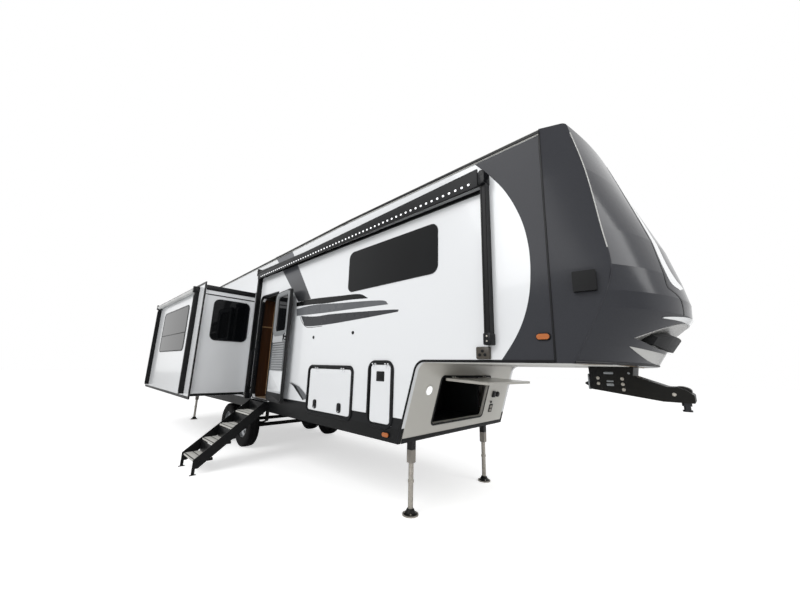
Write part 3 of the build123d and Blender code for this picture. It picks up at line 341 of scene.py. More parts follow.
def rounded_box(width, height, radius, steps=4):
    """Points round a rectangle: each corner is a quarter circle about a point one radius from both sides."""
    turn = (np.linspace(0, np.pi / 2, steps + 1) + np.arange(4)[:, None] * np.pi / 2).ravel()
    sign = np.repeat([[1, 1], [-1, 1], [-1, -1], [1, -1]], steps + 1, axis=0)
    return sign * [width / 2 - radius, height / 2 - radius] + radius * np.stack([np.cos(turn),
        np.sin(turn)], 1)


# %% [markdown]
# Walls, doors and treads are flat, so a piece on one is easiest to write in the face's own
# coordinates: u across, v along and w out.  A small class keeps a face's origin and axes, and
# its methods make the five forms of trim: plate, film, moulding, rim and turned piece.

# %% Faces and bent tubes
class Face:
    """A flat face of the trailer: an origin, a direction across, one along, and the way out."""

    def __init__(self, origin, across, along, out):
        self.origin = np.array(origin, float)
        self.axes = np.array([across, along, out], float)

    def at(self, u, v, w):
        """World points: the origin plus u across, v along and w out."""
        u, v, w = np.broadcast_arrays(u, v, w)
        return self.origin + np.stack([u, v, w], axis=-1) @ self.axes

    def plate(self, centre, size, radius, depth, soft=0.002, low=0.0):
        """A raised plate: its rounded outline rises from low and draws in by soft over its last part."""
        inset = np.array([0, 0, 0.3 * soft, soft])[:, None, None]
        height = np.array([low, low + depth - soft, low + depth - 0.3 * soft, low + depth])[:, None]
        shape = rounded_box(*size, radius) * (1 - 2 * inset / np.array(size))
        return self.at(centre[0] + shape[..., 0], centre[1] + shape[..., 1], height)

    def film(self, edge_a, edge_b, thick, low=0.0003):
        """A sheet between two edge curves, each an array (stations, 2) of face coordinates."""
        a, b = np.asarray(edge_a, float), np.asarray(edge_b, float)
        corners = [self.at(a[:, 0], a[:, 1], low), self.at(a[:, 0], a[:, 1], low + thick),
            self.at(b[:, 0], b[:, 1], low + thick), self.at(b[:, 0], b[:, 1], low)]
        return np.stack(corners, axis=1)

    def moulding(self, path, width, depth, low=0.0, closed=False):
        """A rounded strip: its profile is offset square to the path by up to half the width each way."""
        path = np.asarray(path, float)
        step = np.roll(path, -1, 0) - np.roll(path, 1, 0) if closed else np.gradient(path, axis=0)
        step /= np.linalg.norm(step, axis=1, keepdims=True)
        side = np.stack([-step[:, 1], step[:, 0]], axis=1)
        across = np.array([-0.5, -0.5, -0.3, 0.3, 0.5, 0.5]) * width
        up = np.array([0, 0.55, 1, 1, 0.55, 0]) * depth + low
        spots = path[:, None, :] + side[:, None, :] * across[None, :, None]
        return self.at(spots[..., 0], spots[..., 1], up[None, :])

    def rim(self, centre, size, radius, width, depth, low=0.0, steps=6):
        """A moulding that runs round a rounded rectangle and closes on itself."""
        return self.moulding(rounded_box(*size, radius, steps) + centre, width, depth, low, closed=True)

    def turned(self, centre, profile, sides=24):
        """A turned piece standing on the face: a circle at each (height, radius) of the profile."""
        angle = np.linspace(0, 2 * np.pi, sides, endpoint=False)
        height, radius = np.array(profile, float).T[:, :, None]
        return self.at(centre[0] + radius * np.cos(angle), centre[1] + radius * np.sin(angle), height)


def bent_tube(path, radius, sides=12):
    """Circles square to a path: their first axis is the cross product of the run with a fixed direction."""
    path = np.asarray(path, float)
    run = np.gradient(path, axis=0)
    run /= np.linalg.norm(run, axis=1, keepdims=True)
    fixed = np.array([0.3, 0.5, 0.81]) if abs(run[0] @ [0.3, 0.5, 0.81]) < 0.9 else np.array([0.9, -0.3, 0.3])
    a = np.cross(run, fixed)
    a /= np.linalg.norm(a, axis=1, keepdims=True)
    b = np.cross(run, a)
    angle = np.linspace(0, 2 * np.pi, sides, endpoint=False)[:, None, None]
    return (path + radius * (np.cos(angle) * a + np.sin(angle) * b)).transpose(1, 0, 2)


HALF, NOSE, SEAM, REAR, DECK = 1.22, 6.025, 5.175, -5.875, 1.73
RAKE_FOOT, CORNER, BELLY = 3.455, 3.725, 0.83
FORE, LEFT, UP = (1, 0, 0), (0, 1, 0), (0, 0, 1)
AFT, RIGHT, DOWN = (-1, 0, 0), (0, -1, 0), (0, 0, -1)
slope = np.array([CORNER - RAKE_FOOT, DECK - BELLY]) / np.hypot(CORNER - RAKE_FOOT, DECK - BELLY)
curb = Face((0, -HALF, 0), FORE, UP, RIGHT)
road = Face((0, HALF, 0), FORE, UP, LEFT)
rake = Face((RAKE_FOOT, 0, BELLY), LEFT, (slope[0], 0, slope[1]), (slope[1], 0, -slope[0]))
SIDES = {"curb": curb, "road": road}
print("faces ready")

# %% [markdown]
# The graphics on the walls are cast vinyl film, cut by a plotter and rolled on: it has no
# thickness to speak of, sharp edges and a gloss a little softer than the gel coat.  Each patch
# is a sheet about half a millimetre thick between two curves measured along the wall.

# %% Vinyl film
def smooth_curve(points, count=40):
    """Points on a curve through a few measured ones: each part is a Catmull-Rom cubic between neighbours."""
    p = np.asarray(points, float)
    p = np.vstack([2 * p[0] - p[1], p, 2 * p[-1] - p[-2]])
    t = np.linspace(0, len(points) - 1, count)
    k = np.minimum(t.astype(int), len(points) - 2)
    f = (t - k)[:, None]
    a, b, c, d = p[k], p[k + 1], p[k + 2], p[k + 3]
    return 0.5 * (2 * b + (c - a) * f + (2 * a - 5 * b + 4 * c - d) * f ** 2
        + (3 * b - a - 3 * c + d) * f ** 3)


# Cast vinyl in four greys: smooth and softly glossy, with hardly any grain.
black_film = dull_black("black_cast_vinyl_film", "gelcoat_graphite", "0b0c0d", 0.26, 3.0, 0.01, "101112")
dark_film = dull_black("dark_grey_cast_vinyl_film", "gelcoat_graphite", "38393c", 0.28, 3.0, 0.01, "3e3f42")
grey_film = dull_black("mid_grey_cast_vinyl_film", "gelcoat_graphite", "5e6063", 0.28, 3.0, 0.01, "66686b")
pale_film = grained("pale_grey_cast_vinyl_film", "gelcoat_white", "c9cbcc", 0.28, 3.0, 0.01, "c2c4c6")
# Printed vinyl: black dots thin out upwards, so the slanted band fades from black to grey.
fade_film, tree, surface = new_material("grey_to_black_printed_film", "gelcoat_graphite", Roughness=0.28)
height = add_node(tree, "SeparateXYZ", {0: object_point(tree)})
fade = add_node(tree, "MapRange", {"Value": height.outputs["Z"], "From Min": 2.72, "From Max": 3.75})
dots = add_node(tree, "TexNoise", {"Vector": object_point(tree), "Scale": 1 / 0.003, "Detail": 0.0})
speck = add_node(tree, "Math", {0: dots.outputs[0], 1: 0.06, 2: fade.outputs[0]}, operation="MULTIPLY_ADD")
shade = add_node(tree, "Mix", {0: speck.outputs[0], 6: linear("0e0f10"), 7: linear("63656a")},
    data_type="RGBA")
tree.links.new(shade.outputs[2], surface.inputs["Base Color"])
print("films ready")

# %% [markdown]
# The dark film in front ends in a large arc, a slanted band crosses the wall behind it, and
# three stripes taper forward from the band.  A small decal stands at the foot of the wall.

# %% Graphics on both walls
FILM, BAND_FOOT_Z, BAND_HEAD_Z = 0.0006, 2.75, 3.825
ARC = [(4.705, 1.735), (4.85, 1.937), (4.937, 2.108), (4.993, 2.294), (5.018, 2.486), (5.022, 2.686),
    (5.0, 2.887), (4.955, 3.07), (4.88, 3.264), (4.80, 3.42), (4.715, 3.55), (4.62, 3.68), (4.50, 3.825)]
arc = smooth_curve(ARC, 60)
seam_edge = np.stack([np.full(60, SEAM), arc[:, 1]], axis=1)
band_z = np.linspace(BAND_FOOT_Z, BAND_HEAD_Z, 24)
band_left, band_right = (np.stack([x - lean * (band_z - BAND_FOOT_Z), band_z], axis=1)
    for x, lean in ((0.96, 1.02), (1.37, 0.785)))
outline = smooth_curve([(1.06, 2.475), (1.165, 2.36), (1.34, 2.27), (1.77, 2.262)])
GRAPHICS = [
    # piece, film, one edge, the other edge, thickness, height over the wall
    ("seam_graphite_film", graphite_gelcoat, arc, seam_edge, FILM, 0.0003),
    ("slanted_band_film", fade_film, band_left, band_right, FILM, 0.0003),
    ("stripe_1_film", black_film,
     smooth_curve([(0.89, 2.745), (1.4, 2.745), (2.21, 2.69), (2.64, 2.655), (2.83, 2.575)]),
     smooth_curve([(0.91, 2.67), (1.4, 2.65), (1.82, 2.62), (2.4, 2.60), (2.82, 2.57)]), FILM, 0.0003),
    ("stripe_2_film", grey_film,
     smooth_curve([(0.92, 2.625), (1.47, 2.635), (2.2, 2.58), (3.07, 2.51), (3.23, 2.445)]),
     smooth_curve([(0.94, 2.50), (1.4, 2.485), (1.84, 2.47), (2.6, 2.455), (3.22, 2.44)]), FILM, 0.0003),
    ("stripe_3_film", dark_film,
     smooth_curve([(1.09, 2.487), (1.3, 2.46), (1.6, 2.435), (2.07, 2.43), (3.29, 2.365), (3.41, 2.332)]),
     smooth_curve([(1.10, 2.480), (1.19, 2.37), (1.31, 2.295), (1.86, 2.28), (2.67, 2.30), (3.40, 2.327)]),
     FILM, 0.0003),
    ("stripe_outline_film", black_film, outline, outline + [0.004, 0.008], FILM, 0.0003),
    ("foot_decal_pale", pale_film, [(0.90, 1.375), (1.06, 1.33), (1.24, 1.245), (1.385, 1.125)],
     [(0.98, 1.395), (1.24, 1.345), (1.42, 1.255), (1.565, 1.165)], 0.0005, 0.0003),
    ("foot_decal_grey", grey_film, [(0.95, 1.375), (1.09, 1.335), (1.27, 1.235), (1.39, 1.135)],
     [(1.0, 1.375), (1.24, 1.325), (1.39, 1.255), (1.54, 1.168)], 0.0004, 0.001),
    ("foot_decal_black", black_film, [(0.93, 1.365), (1.05, 1.325), (1.38, 1.125)],
     [(0.93, 1.372), (1.14, 1.325), (1.40, 1.145)], 0.0004, 0.0016),
]
for word, face in SIDES.items():
    for name, film, edge_a, edge_b, thick, low in GRAPHICS:
        skin(f"{name}_{word}", [face.film(edge_a, edge_b, thick, low)], film)
print("graphics a side:", len(GRAPHICS))

# %% [markdown]
# Where two panels meet, such a trailer has an extruded moulding with a plastic insert: along
# the roof's edge, down the seam of the front cap, round the foot of the raised deck and down
# the raked wall.  The strip bends round the corner in an arc that touches both straight runs.

# %% Mouldings
def roof_line(x):
    """Height of the roof's edge: level in front of the break, then falling 230 mm to the rear."""
    return 3.89 - 0.23 * np.clip((2.225 - x) / (2.225 - REAR), 0, 1)


# Extruded vinyl insert: an even black with a soft wide highlight.
satin_black = dull_black("satin_black_vinyl_insert", "trim_black", "101112", 0.38, 2.0, 0.03, "16171a")
# Painted skirt metal: charcoal, slightly lighter than the vinyl.
charcoal = dull_black("charcoal_painted_skirt_metal", "trim_black", "131416", 0.36, 2.5, 0.03, "18191b")
BEND_R, EDGE_Z, SEAM_STRIP, DECK_STRIP = 0.14, DECK + 0.012, 0.016, 0.026
along = np.linspace(REAR - 0.008, SEAM + 0.004, 40)
rake_angle = math.atan2(slope[1], slope[0])
bend_centre = np.array([CORNER - 0.010 + BEND_R * math.tan(rake_angle / 2), EDGE_Z - BEND_R])
bend_angle = np.linspace(math.pi / 2 + rake_angle, math.pi / 2, 9)
bend = bend_centre + BEND_R * np.stack([np.cos(bend_angle), np.sin(bend_angle)], axis=1)
lower_edge = np.vstack([[[RAKE_FOOT - 0.012, BELLY + 0.004]], bend, [[4.4, EDGE_Z]], [[SEAM, EDGE_Z]]])
for word, face in SIDES.items():
    skin(f"roof_edge_moulding_{word}", [face.moulding(np.stack([along, roof_line(along) - 0.038], 1), 0.042,
        0.018)], satin_black)
    skin(f"cap_seam_moulding_{word}", [face.moulding([(SEAM, DECK + 0.004), (SEAM, 2.8), (SEAM, 3.85)],
        SEAM_STRIP, 0.008)], satin_black)
    skin(f"deck_edge_moulding_{word}", [face.moulding(lower_edge, DECK_STRIP, 0.008)], satin_black)
print("mouldings follow", len(lower_edge), "points")

# %% [markdown]
# The skirt's dark colour runs up onto the wall to about 1.1 m, with the baggage doors cutting
# through it.  It is a painted metal strip in lengths between the openings.

# %% Skirt band
BAND_FOOT, BAND_TOP, BAND_LEAN = 0.986, 1.105, 0.03
BANDS = {"curb": [(-5.86, -5.09), (-0.85, -0.56), (0.24, 1.515), (2.596, 2.935), (3.346, 3.50)],
    "road": [(-5.86, -5.24), (-1.41, 1.515), (2.596, 3.50)]}
for word, lengths in BANDS.items():
    strips = []
    for low_x, high_x in lengths:
        u = np.array([low_x, high_x])
        slant = np.array([0.0, BAND_LEAN if high_x > 3.4 else 0.0])
        strips.append(SIDES[word].film(np.stack([u - slant, np.full(2, BAND_FOOT)], 1),
            np.stack([u + slant * 0.4, np.full(2, BAND_TOP)], 1), 0.003, 0.0))
    skin(f"skirt_band_{word}", strips, charcoal)
print("skirt band in", sum(map(len, BANDS.values())), "lengths")

# %% [markdown]
# The long awning is a roll of black vinyl between two arms, behind a strip with a row of lamps.
# The strip's black reaches below the lamp row, and that lower part is painted shade under the roll.
# The roll is a spiral, so its radius grows a little round the turn and leaves a visible edge.

# %% Main awning
AWN_X, AWN_Z, AWN_Y = (-0.675, 4.625), 3.56, -1.282
# Rolled vinyl cloth: black with a faint weave.
roll_black = dull_black("black_rolled_awning_vinyl", "trim_black", "121314", 0.42, 1.2, 0.05, "191a1c")
# Die cast and painted: black, glossier than the arms it holds.
cast_black = dull_black("black_die_cast_bracket", "trim_black", "101112", 0.26, 1.5, 0.05, "17181a")
turn = np.linspace(0, 2 * np.pi, 48, endpoint=False)
spiral = 0.0486 + 0.0022 * turn / (2 * np.pi)
ring = np.stack([spiral * np.sin(turn), spiral * np.cos(turn)], axis=1)
stations = np.linspace(AWN_X[0] + 0.036, AWN_X[1] - 0.036, 24)
sag = 0.004 * (1 - ((stations - stations.mean()) / np.ptp(stations) * 2) ** 2)
roll = np.stack(np.broadcast_arrays(stations[:, None], AWN_Y + ring[None, :, 0], AWN_Z
    + ring[None, :, 1] - sag[:, None]), axis=-1)
skin("awning_rolled_vinyl", [roll], roll_black)
fascia_x = np.linspace(AWN_X[0] + 0.04, AWN_X[1] - 0.04, 24)
fascia_run = np.interp(fascia_x, AWN_X, (0.0, 1.0))
# The strip's foot runs below the lamp row: its black there is painted shade under the awning roll.
fascia_shade_foot, fascia_top = 3.412 + 0.075 * fascia_run, 3.525 + 0.155 * fascia_run
fascia_rise = np.array([0.0, 0.0, 0.25, 0.75, 1.0, 1.0])
fascia_proud = np.array([0.100, 0.113, 0.119, 0.119, 0.113, 0.100])
fascia_z = fascia_shade_foot[:, None] + (fascia_top - fascia_shade_foot)[:, None] * fascia_rise
skin("awning_fascia_with_painted_shade", [curb.at(fascia_x[:, None], fascia_z, fascia_proud)], satin_black)
lamp_x = np.arange(AWN_X[0] + 0.20, AWN_X[1] - 0.10, 0.08)
lamp_z = np.interp(lamp_x, AWN_X, (3.447, 3.535))
skin("awning_lamp_row", [curb.plate((x, z), (0.026, 0.022), 0.009, 0.006, 0.0015, 0.1175)
    for x, z in zip(lamp_x, lamp_z)], white_lamp)
print("awning lamps", len(lamp_x))

# %% [markdown]
# Each arm hangs from a bracket at the roll and stands in a smaller one lower on the wall, with
# two ribs between them.

# %% Awning arms
HUB = [(0.01, 0.034), (0.112, 0.034), (0.118, 0.026), (0.119, 0.01)]
brackets, rails, pins = [], [], []
for x, foot in zip(AWN_X, (1.0, 1.89)):
    brackets += [curb.plate((x, AWN_Z + 0.012), (0.074, 0.150), 0.03, 0.116, 0.008),
        curb.plate((x, foot + 0.05), (0.078, 0.11), 0.012, 0.088, 0.004),
        curb.turned((x, AWN_Z + 0.055), HUB)]
    rails += [curb.moulding([(x + d, foot + 0.11), (x + d, 2.6), (x + d, AWN_Z - 0.07)], 0.017, 0.005, 0.080)
        for d in (-0.02, 0.02)]
    pins += [curb.turned((x, foot + d), [(0.087, 0.008), (0.093, 0.008), (0.094, 0.005)], 12)
        for d in (0.03, 0.075)]
skin("awning_brackets", brackets, cast_black)
skin("awning_arm_ribs", rails, black_coat)
skin("awning_bracket_pins", pins, zinc_steel)
print("awning brackets", len(brackets))

# %% [markdown]
# The raked wall under the deck is a warm silver panel that carries a round lamp, the water and
# power connections and a black strip along its foot.  Its own face gives their places.

# %% Raked wall
def up_rake(z):
    """Distance along the raked face of a point at height z: the height divided by the slope's sine."""
    return (z - BELLY) / slope[1]


# Ribbed white sheet under the deck: faint lines that run along the trailer.
soffit_white = grained("white_ribbed_soffit_sheet", "gelcoat_white", "dcdcd8", 0.4, 30.0, 0.2, "cfcfca",
    stretch=(0.02, 1, 1))
LAMP_AT, SWITCHES = (-0.896, up_rake(1.412)), (0.743, up_rake(1.094))
under_deck = Face((4.66, 0, DECK), FORE, LEFT, DOWN)
skin("rake_foot_strip", [rake.moulding([(-1.17, 0.028), (0.0, 0.028), (1.17, 0.028)], 0.056,
    0.006)], satin_black)
skin("deck_soffit", [under_deck.plate((-0.145, 0), (1.53, 2.38), 0.01, 0.004, 0.001),
    under_deck.plate((0.735, 0), (0.22, 1.60), 0.01, 0.004, 0.001)], soffit_white)
skin("rake_lamp_lens", [rake.turned(LAMP_AT, [(0, 0.05), (0.012, 0.05), (0.02, 0.04), (0.023, 0.02),
    (0.024, 0.004)], 32)], white_lamp)
skin("rake_lamp_rim", [rake.turned(LAMP_AT, [(0, 0.062), (0.008, 0.062), (0.011, 0.056), (0.011, 0.05)],
    32)], unit_white)
skin("rake_sockets", [rake.plate((0.735, up_rake(1.305)), (0.075, 0.095), 0.012, 0.028, 0.006),
    rake.turned((0.856, up_rake(1.300)), [(0, 0.042), (0.018, 0.042), (0.028, 0.034), (0.029, 0.01)]),
    rake.turned((0.714, up_rake(1.187)), [(0, 0.019), (0.012, 0.019), (0.016, 0.012)], 16)], cast_black)
skin("rake_switch_panel", [rake.plate(SWITCHES, (0.10, 0.125), 0.01, 0.008, 0.003)], wear_pad,
    slot="trim_black")
skin("rake_switches", [rake.plate((SWITCHES[0] + du, SWITCHES[1] + dv), (0.022, 0.036), 0.004, 0.008, 0.003,
    0.008) for du in (-0.026, 0.006) for dv in (-0.028, 0.024)], zinc_steel)
skin("bay_edge_trim", [rake.rim((-0.08, up_rake(1.28)), (1.2 + 0.012, 0.56 / slope[1] + 0.012), 0.045, 0.012,
    0.004)], satin_black, ring=True)
print("raked wall dressed")

# %% [markdown]
# Small hardware on the walls: paddle latches on the baggage doors, round speakers, and a
# moulding round each door and a dark rim round each marker lamp.

# %% Hardware on the walls
# Moulded cover with holes: dull black with a coarse grain.
speaker_grille = dull_black("black_perforated_speaker_cover", "trim_black", "0f1011", 0.5, 3.0, 0.6, "1c1d1f")
# Chromed barrel: a small bright mirror.
latch_chrome = grained("chromed_lock_barrel", "zinc_steel", "c8cacc", 0.14, 2.0, 0.01, metallic=1.0)
LATCH_X, LATCH_Z, LOCK_Z = (1.735, 2.335), 1.106, 1.060


def paddle_latch(face, x, z):
    """A rounded housing with a raised paddle on it, as loops on the leaf's outer face."""
    return [face.plate((x, z), (0.088, 0.128), 0.034, 0.010, 0.003, 0.005),
        face.plate((x, z + 0.012), (0.056, 0.066), 0.018, 0.007, 0.003, 0.014)]


for word, face in SIDES.items():
    body = f"door_baggage_{word}"
    skin(f"baggage_latches_{word}", [part for x in LATCH_X for part in paddle_latch(face, x, LATCH_Z)],
        cast_black, body)
    skin(f"baggage_locks_{word}", [face.turned((x, LOCK_Z), [(0.014, 0.010), (0.018, 0.010), (0.019, 0.006)],
        16) for x in LATCH_X], latch_chrome, body)
    skin(f"wall_speakers_{word}", [face.turned(spot,
        [(0, 0.024), (0.006, 0.024), (0.010, 0.020), (0.012, 0.01), (0.0122, 0.002)])
        for spot in ((1.55, 2.10), (2.55, 2.12))], speaker_grille)
SURROUNDS = [
    # face, middle x and z, width, height, corner radius
    (curb, 2.055, 1.317, 1.02, 0.61, 0.05), (road, 2.055, 1.317, 1.02, 0.61, 0.05),
    (curb, 3.140, 1.3535, 0.35, 0.683, 0.07),
]
skin("door_surround_mouldings", [face.rim((x, z), (wide + 0.072, tall + 0.072), r + 0.036, 0.032, 0.020,
    steps=8) for face, x, z, wide, tall, r in SURROUNDS], satin_black, ring=True)
MARKERS = [(SEAM - 0.080, DECK + 0.215), (RAKE_FOOT - 0.190, BELLY + 0.075), (REAR + 0.090, BELLY + 0.075)]
skin("marker_lamp_rims", [face.rim(spot, (0.114, 0.056), 0.028, 0.009, 0.012) for face in SIDES.values()
    for spot in MARKERS], satin_black, ring=True)
print("door surrounds", len(SURROUNDS), "lamp rims", 2 * len(MARKERS))

# %% [markdown]
# The doorway has a dark surround with one rounded corner and thin liners inside its frame.  The
# narrow door has a vent, and a connection box with three ports sits low on the side of the deck.

# %% Doorway, vent and connection box
corner = rounded_box(0.36, 0.36, 0.10, 8)[17:8:-1] + [-0.386, 2.854]
doorway = np.vstack([[[-0.566, 1.02], [-0.566, 1.9], [-0.566, 2.85]], corner,
    [[-0.30, 3.034], [0.17, 3.034]]])
skin("doorway_surround", [curb.moulding(doorway, 0.044, 0.024)], satin_black)
jamb = Face((-0.525, -1.195, 2.01), LEFT, UP, FORE)
lintel = Face((-0.16, -1.195, 2.99), FORE, LEFT, DOWN)
skin("doorway_liner", [liner.plate((0, 0), size, 0.002, 0.0016, 0.0004, 0.0003)
    for liner, size in ((jamb, (0.050, 1.95)), (lintel, (0.68, 0.050)))], satin_black)
vent_rows = [curb.plate((3.14, 1.555 + d), (0.105, 0.009), 0.003, 0.005, 0.002, 0.010)
    for d in np.linspace(-0.038, 0.038, 5)]
skin("slim_door_vent", [curb.plate((3.14, 1.555), (0.138, 0.118), 0.01, 0.006, 0.002, 0.005)] + vent_rows,
    cast_black, "door_slim_curb")
# Smoked plastic cover: brownish, with a clear gloss.
smoked = grained("smoked_moulded_cover", "trim_black", "3e3932", 0.25, 2.0, 0.03, "4a443c", gloss=0.4)
skin("wall_connection_box", [curb.plate((4.545, 1.818), (0.14, 0.115), 0.012, 0.03, 0.006)], smoked)
skin("wall_connection_ports", [curb.turned((4.515 + dx, 1.80 + dz),
    [(0.03, 0.014), (0.036, 0.014), (0.037, 0.008)], 16)
    for dx, dz in ((0.0, 0.0), (0.055, 0.0), (0.03, 0.035))], cast_black)
print("wall hardware placed")

# %% [markdown]
# The front cap is moulded with a crease down each side and a lamp band round its middle.  A
# fine bead runs down each crease, and its upper part is silver: a painted highlight where the
# crease catches the light.  The cap's front is a bow between the creases, so a point on it
# follows from the circle through the two creases and the nose at each height.

# %% Front cap accents
CAP_UP = np.array([0.0, 0.14, 0.43, 0.56, 0.76, 1.08, 1.64, 2.16]) + DECK
CREASE_X = NOSE - np.array([0.725, 0.650, 0.515, 0.455, 0.412, 0.450, 0.522, 0.635])
CREASE_Y = HALF - np.array([0.025, 0.035, 0.055, 0.062, 0.070, 0.075, 0.072, 0.080])
FRONT_X = NOSE - np.array([0.325, 0.240, 0.020, 0.012, 0.050, 0.130, 0.335, 0.510])
BEAD_R, PAINTED_HIGHLIGHT_FROM = 0.0045, DECK + 0.88


def cap_front(y, z, proud=0.0):
    """Points on the cap's bow: with rise s over half chord c the circle has radius (c² + s²) / 2s about a
    point that radius behind the nose; proud moves the point out along the circle's radius."""
    x_c, y_c, x_n = (np.interp(z, CAP_UP, row) for row in (CREASE_X, CREASE_Y, FRONT_X))
    rise = x_n - x_c
    radius = (y_c ** 2 + rise ** 2) / (2 * rise)
    x = x_n - radius + np.sqrt(radius ** 2 - y ** 2)
    nx, ny = (x - x_n + radius) / radius, y / radius
    return np.stack([x + proud * nx, y + proud * ny, z + 0 * x], axis=-1)


def cap_strip(edge_a, edge_b, proud, thick=0.003):
    """A sheet on the bow, in five columns between two edges, each an array (stations, 2) of y and height."""
    t = np.linspace(0, 1, 5)[None, :, None]
    yz = edge_a[:, None, :] * (1 - t) + edge_b[:, None, :] * t
    outer, inner = (cap_front(yz[..., 0], yz[..., 1], out) for out in (proud, proud - thick))
    return np.concatenate([outer, inner[:, ::-1]], axis=1)


# Moulded silver metallic: a bright grey with a faint sparkle.
silver_flake = gelcoat("silver_metallic_gelcoat", "panel_silver", "a5a5a2", 0.2, flake=0.3)
# White gloss coat: the brightest line on the cap.
white_bead = gelcoat("white_gloss_accent", "gelcoat_white", "eceeef", 0.16)
GROOVE = [(0.30, 3.80), (0.42, 3.40), (0.505, 3.05), (0.568, 2.69), (0.600, 2.52), (0.611, 2.38),
    (0.56, 2.345), (0.49, 2.32), (0.42, 2.27), (0.385, 2.20), (0.38, 2.155)]
WHITE_TOP = [(0.27, 3.80), (0.39, 3.40), (0.475, 3.05), (0.54, 2.70), (0.55, 2.50),
    (0.50, 2.41), (0.36, 2.38)]
WHITE_FOOT = [(0.20, 3.80), (0.32, 3.40), (0.39, 3.05), (0.43, 2.70), (0.42, 2.55),
    (0.36, 2.47), (0.20, 2.42)]
for word, side in (("curb", -1), ("road", 1)):
    crease = smooth_curve(np.stack([CREASE_X - 0.001, side * (CREASE_Y - 0.001), CAP_UP], axis=1), 60)
    turn_at = int(np.searchsorted(crease[:, 2], PAINTED_HIGHLIGHT_FROM))
    skin(f"cap_crease_bead_{word}", [bent_tube(crease[:turn_at + 1], BEAD_R, 10)], graphite_gelcoat)
    # From here up the bead is silver: a painted highlight for the light on the crease.
    skin(f"cap_crease_painted_highlight_{word}", [bent_tube(crease[turn_at:-2], BEAD_R, 10)], silver_flake)
    groove = smooth_curve(GROOVE, 60) * [side, 1]
    skin(f"cap_accent_groove_{word}", [cap_strip(groove, groove - [side * 0.022, -0.006],
        0.002)], satin_black)
    top, foot = (smooth_curve(edge, 50) * [side, 1] for edge in (WHITE_TOP, WHITE_FOOT))
    skin(f"cap_accent_white_{word}", [cap_strip(top, foot, 0.0024)], white_bead)
y = np.linspace(-0.645, 0.645, 60)
rise = 0.018 * (1 - (y / 0.645) ** 2)
skin("cap_lip_white", [cap_strip(np.stack([y, 2.108 + 0 * y + rise * 0.2], 1),
    np.stack([y, 2.118 + rise * 2.0], 1), 0.010, 0.012)], white_bead)
print("crease beads turn at point", turn_at)

# %% [markdown]
# Under the lip the cap is cut back in a scoop.  Its roof and its chin are lined with silver, and
# a dark wedge with a grille stands in the mouth.  Each lining stops just inside the bow.

# %% Scoop and chin
SCOOP_TOP, SCOOP_ROOT = ((5.655, 1.945), (5.985, 2.130)), ((5.763, 1.880), (6.085, 1.820))
WEDGE = np.array([(5.672, 1.940), (5.83, 2.026), (5.90, 1.985), (5.825, 1.872), (5.765, 1.886)])


def scoop_sheet(start, end, y_max, down_sign, gap=0.0005, thick=0.003):
    """A lining beside one face of the scoop: each column runs from the scoop's root to just inside the bow,
    and is moved off the face, down where down_sign is 1 and up where it is -1."""
    y = np.linspace(-y_max, y_max, 49)
    t = np.linspace(0, 1, 200)
    start, way = np.array(start), np.array(end) - start
    x, z = start[0] + way[0] * t, start[1] + way[1] * t
    inside = cap_front(y[:, None], z[None, :])[..., 0] - 0.006 - x[None, :]
    reach = np.where(inside > 0, t[None, :], 0).max(axis=1)
    part = np.linspace(0.02, 1, 12)[None, :] * reach[:, None]
    down = np.array([way[1], -way[0]])
    down *= down_sign / np.linalg.norm(down)
    xz = start + part[..., None] * way
    y = np.broadcast_to(y[:, None], part.shape)
    near, far = (np.stack([p[..., 0], y, p[..., 1]], axis=-1)
        for p in (xz + down * gap, xz + down * (gap + thick)))
    return np.concatenate([near, far[:, ::-1]], axis=1)


skin("cap_scoop_silver", [scoop_sheet(*SCOOP_TOP, 0.84, 1)], silver_flake)
skin("cap_chin_silver", [scoop_sheet(*SCOOP_ROOT, 0.80, -1)], silver_flake)
y = np.linspace(-0.58, 0.58, 25)
draw = 1 - 0.5 * (np.abs(y) / 0.58) ** 3
mouth = WEDGE[0] + (WEDGE[None, :, :] - WEDGE[0]) * draw[:, None, None]
mouth_y = np.broadcast_to(y[:, None], mouth.shape[:2])
skin("cap_scoop_grille", [np.stack([mouth[..., 0], mouth_y, mouth[..., 1]], axis=-1)], speaker_grille,
    slot="liner_black")
chin_y = np.linspace(-0.80, 0.80, 60)
bow = np.abs(chin_y) / 0.80
skin("cap_chin_bow_silver", [cap_strip(np.stack([chin_y, 1.846 + 0.032 * bow ** 2], 1),
    np.stack([chin_y, 1.748 + 0.129 * bow ** 2.4], 1), 0.0022)], silver_flake)
foot_y = np.linspace(-1.19, 1.19, 60)
skin("cap_foot_moulding", [bent_tube(cap_front(foot_y, np.full_like(foot_y, DECK + 0.012), 0.002), 0.009,
    8)], satin_black)
print("cap accents ready")

# %% [markdown]
# The entry door stands folded back against the wall, so its inner side faces out.  Its face is
# turned 174 degrees about the hinge pin, as the joint says.  The leaf is satin grey with a black
# rim, so the finish measures how far a point lies from the leaf's middle, across and upward.

# %% Finish of the entry door
swing = math.radians(174)
toward_hinge = np.array([math.cos(swing), math.sin(swing), 0.0])
door_out = np.array([math.sin(swing), -math.cos(swing), 0.0])
HINGE_PIN, LEAF_MIDDLE_Z, RIM_U, RIM_V = np.array([0.213, -1.234, 2.010]), 2.01, 0.337, 0.952
door_middle = HINGE_PIN - toward_hinge * 0.373 - door_out * 0.014
door = Face(door_middle - door_out * 0.035, -toward_hinge, UP, -door_out)
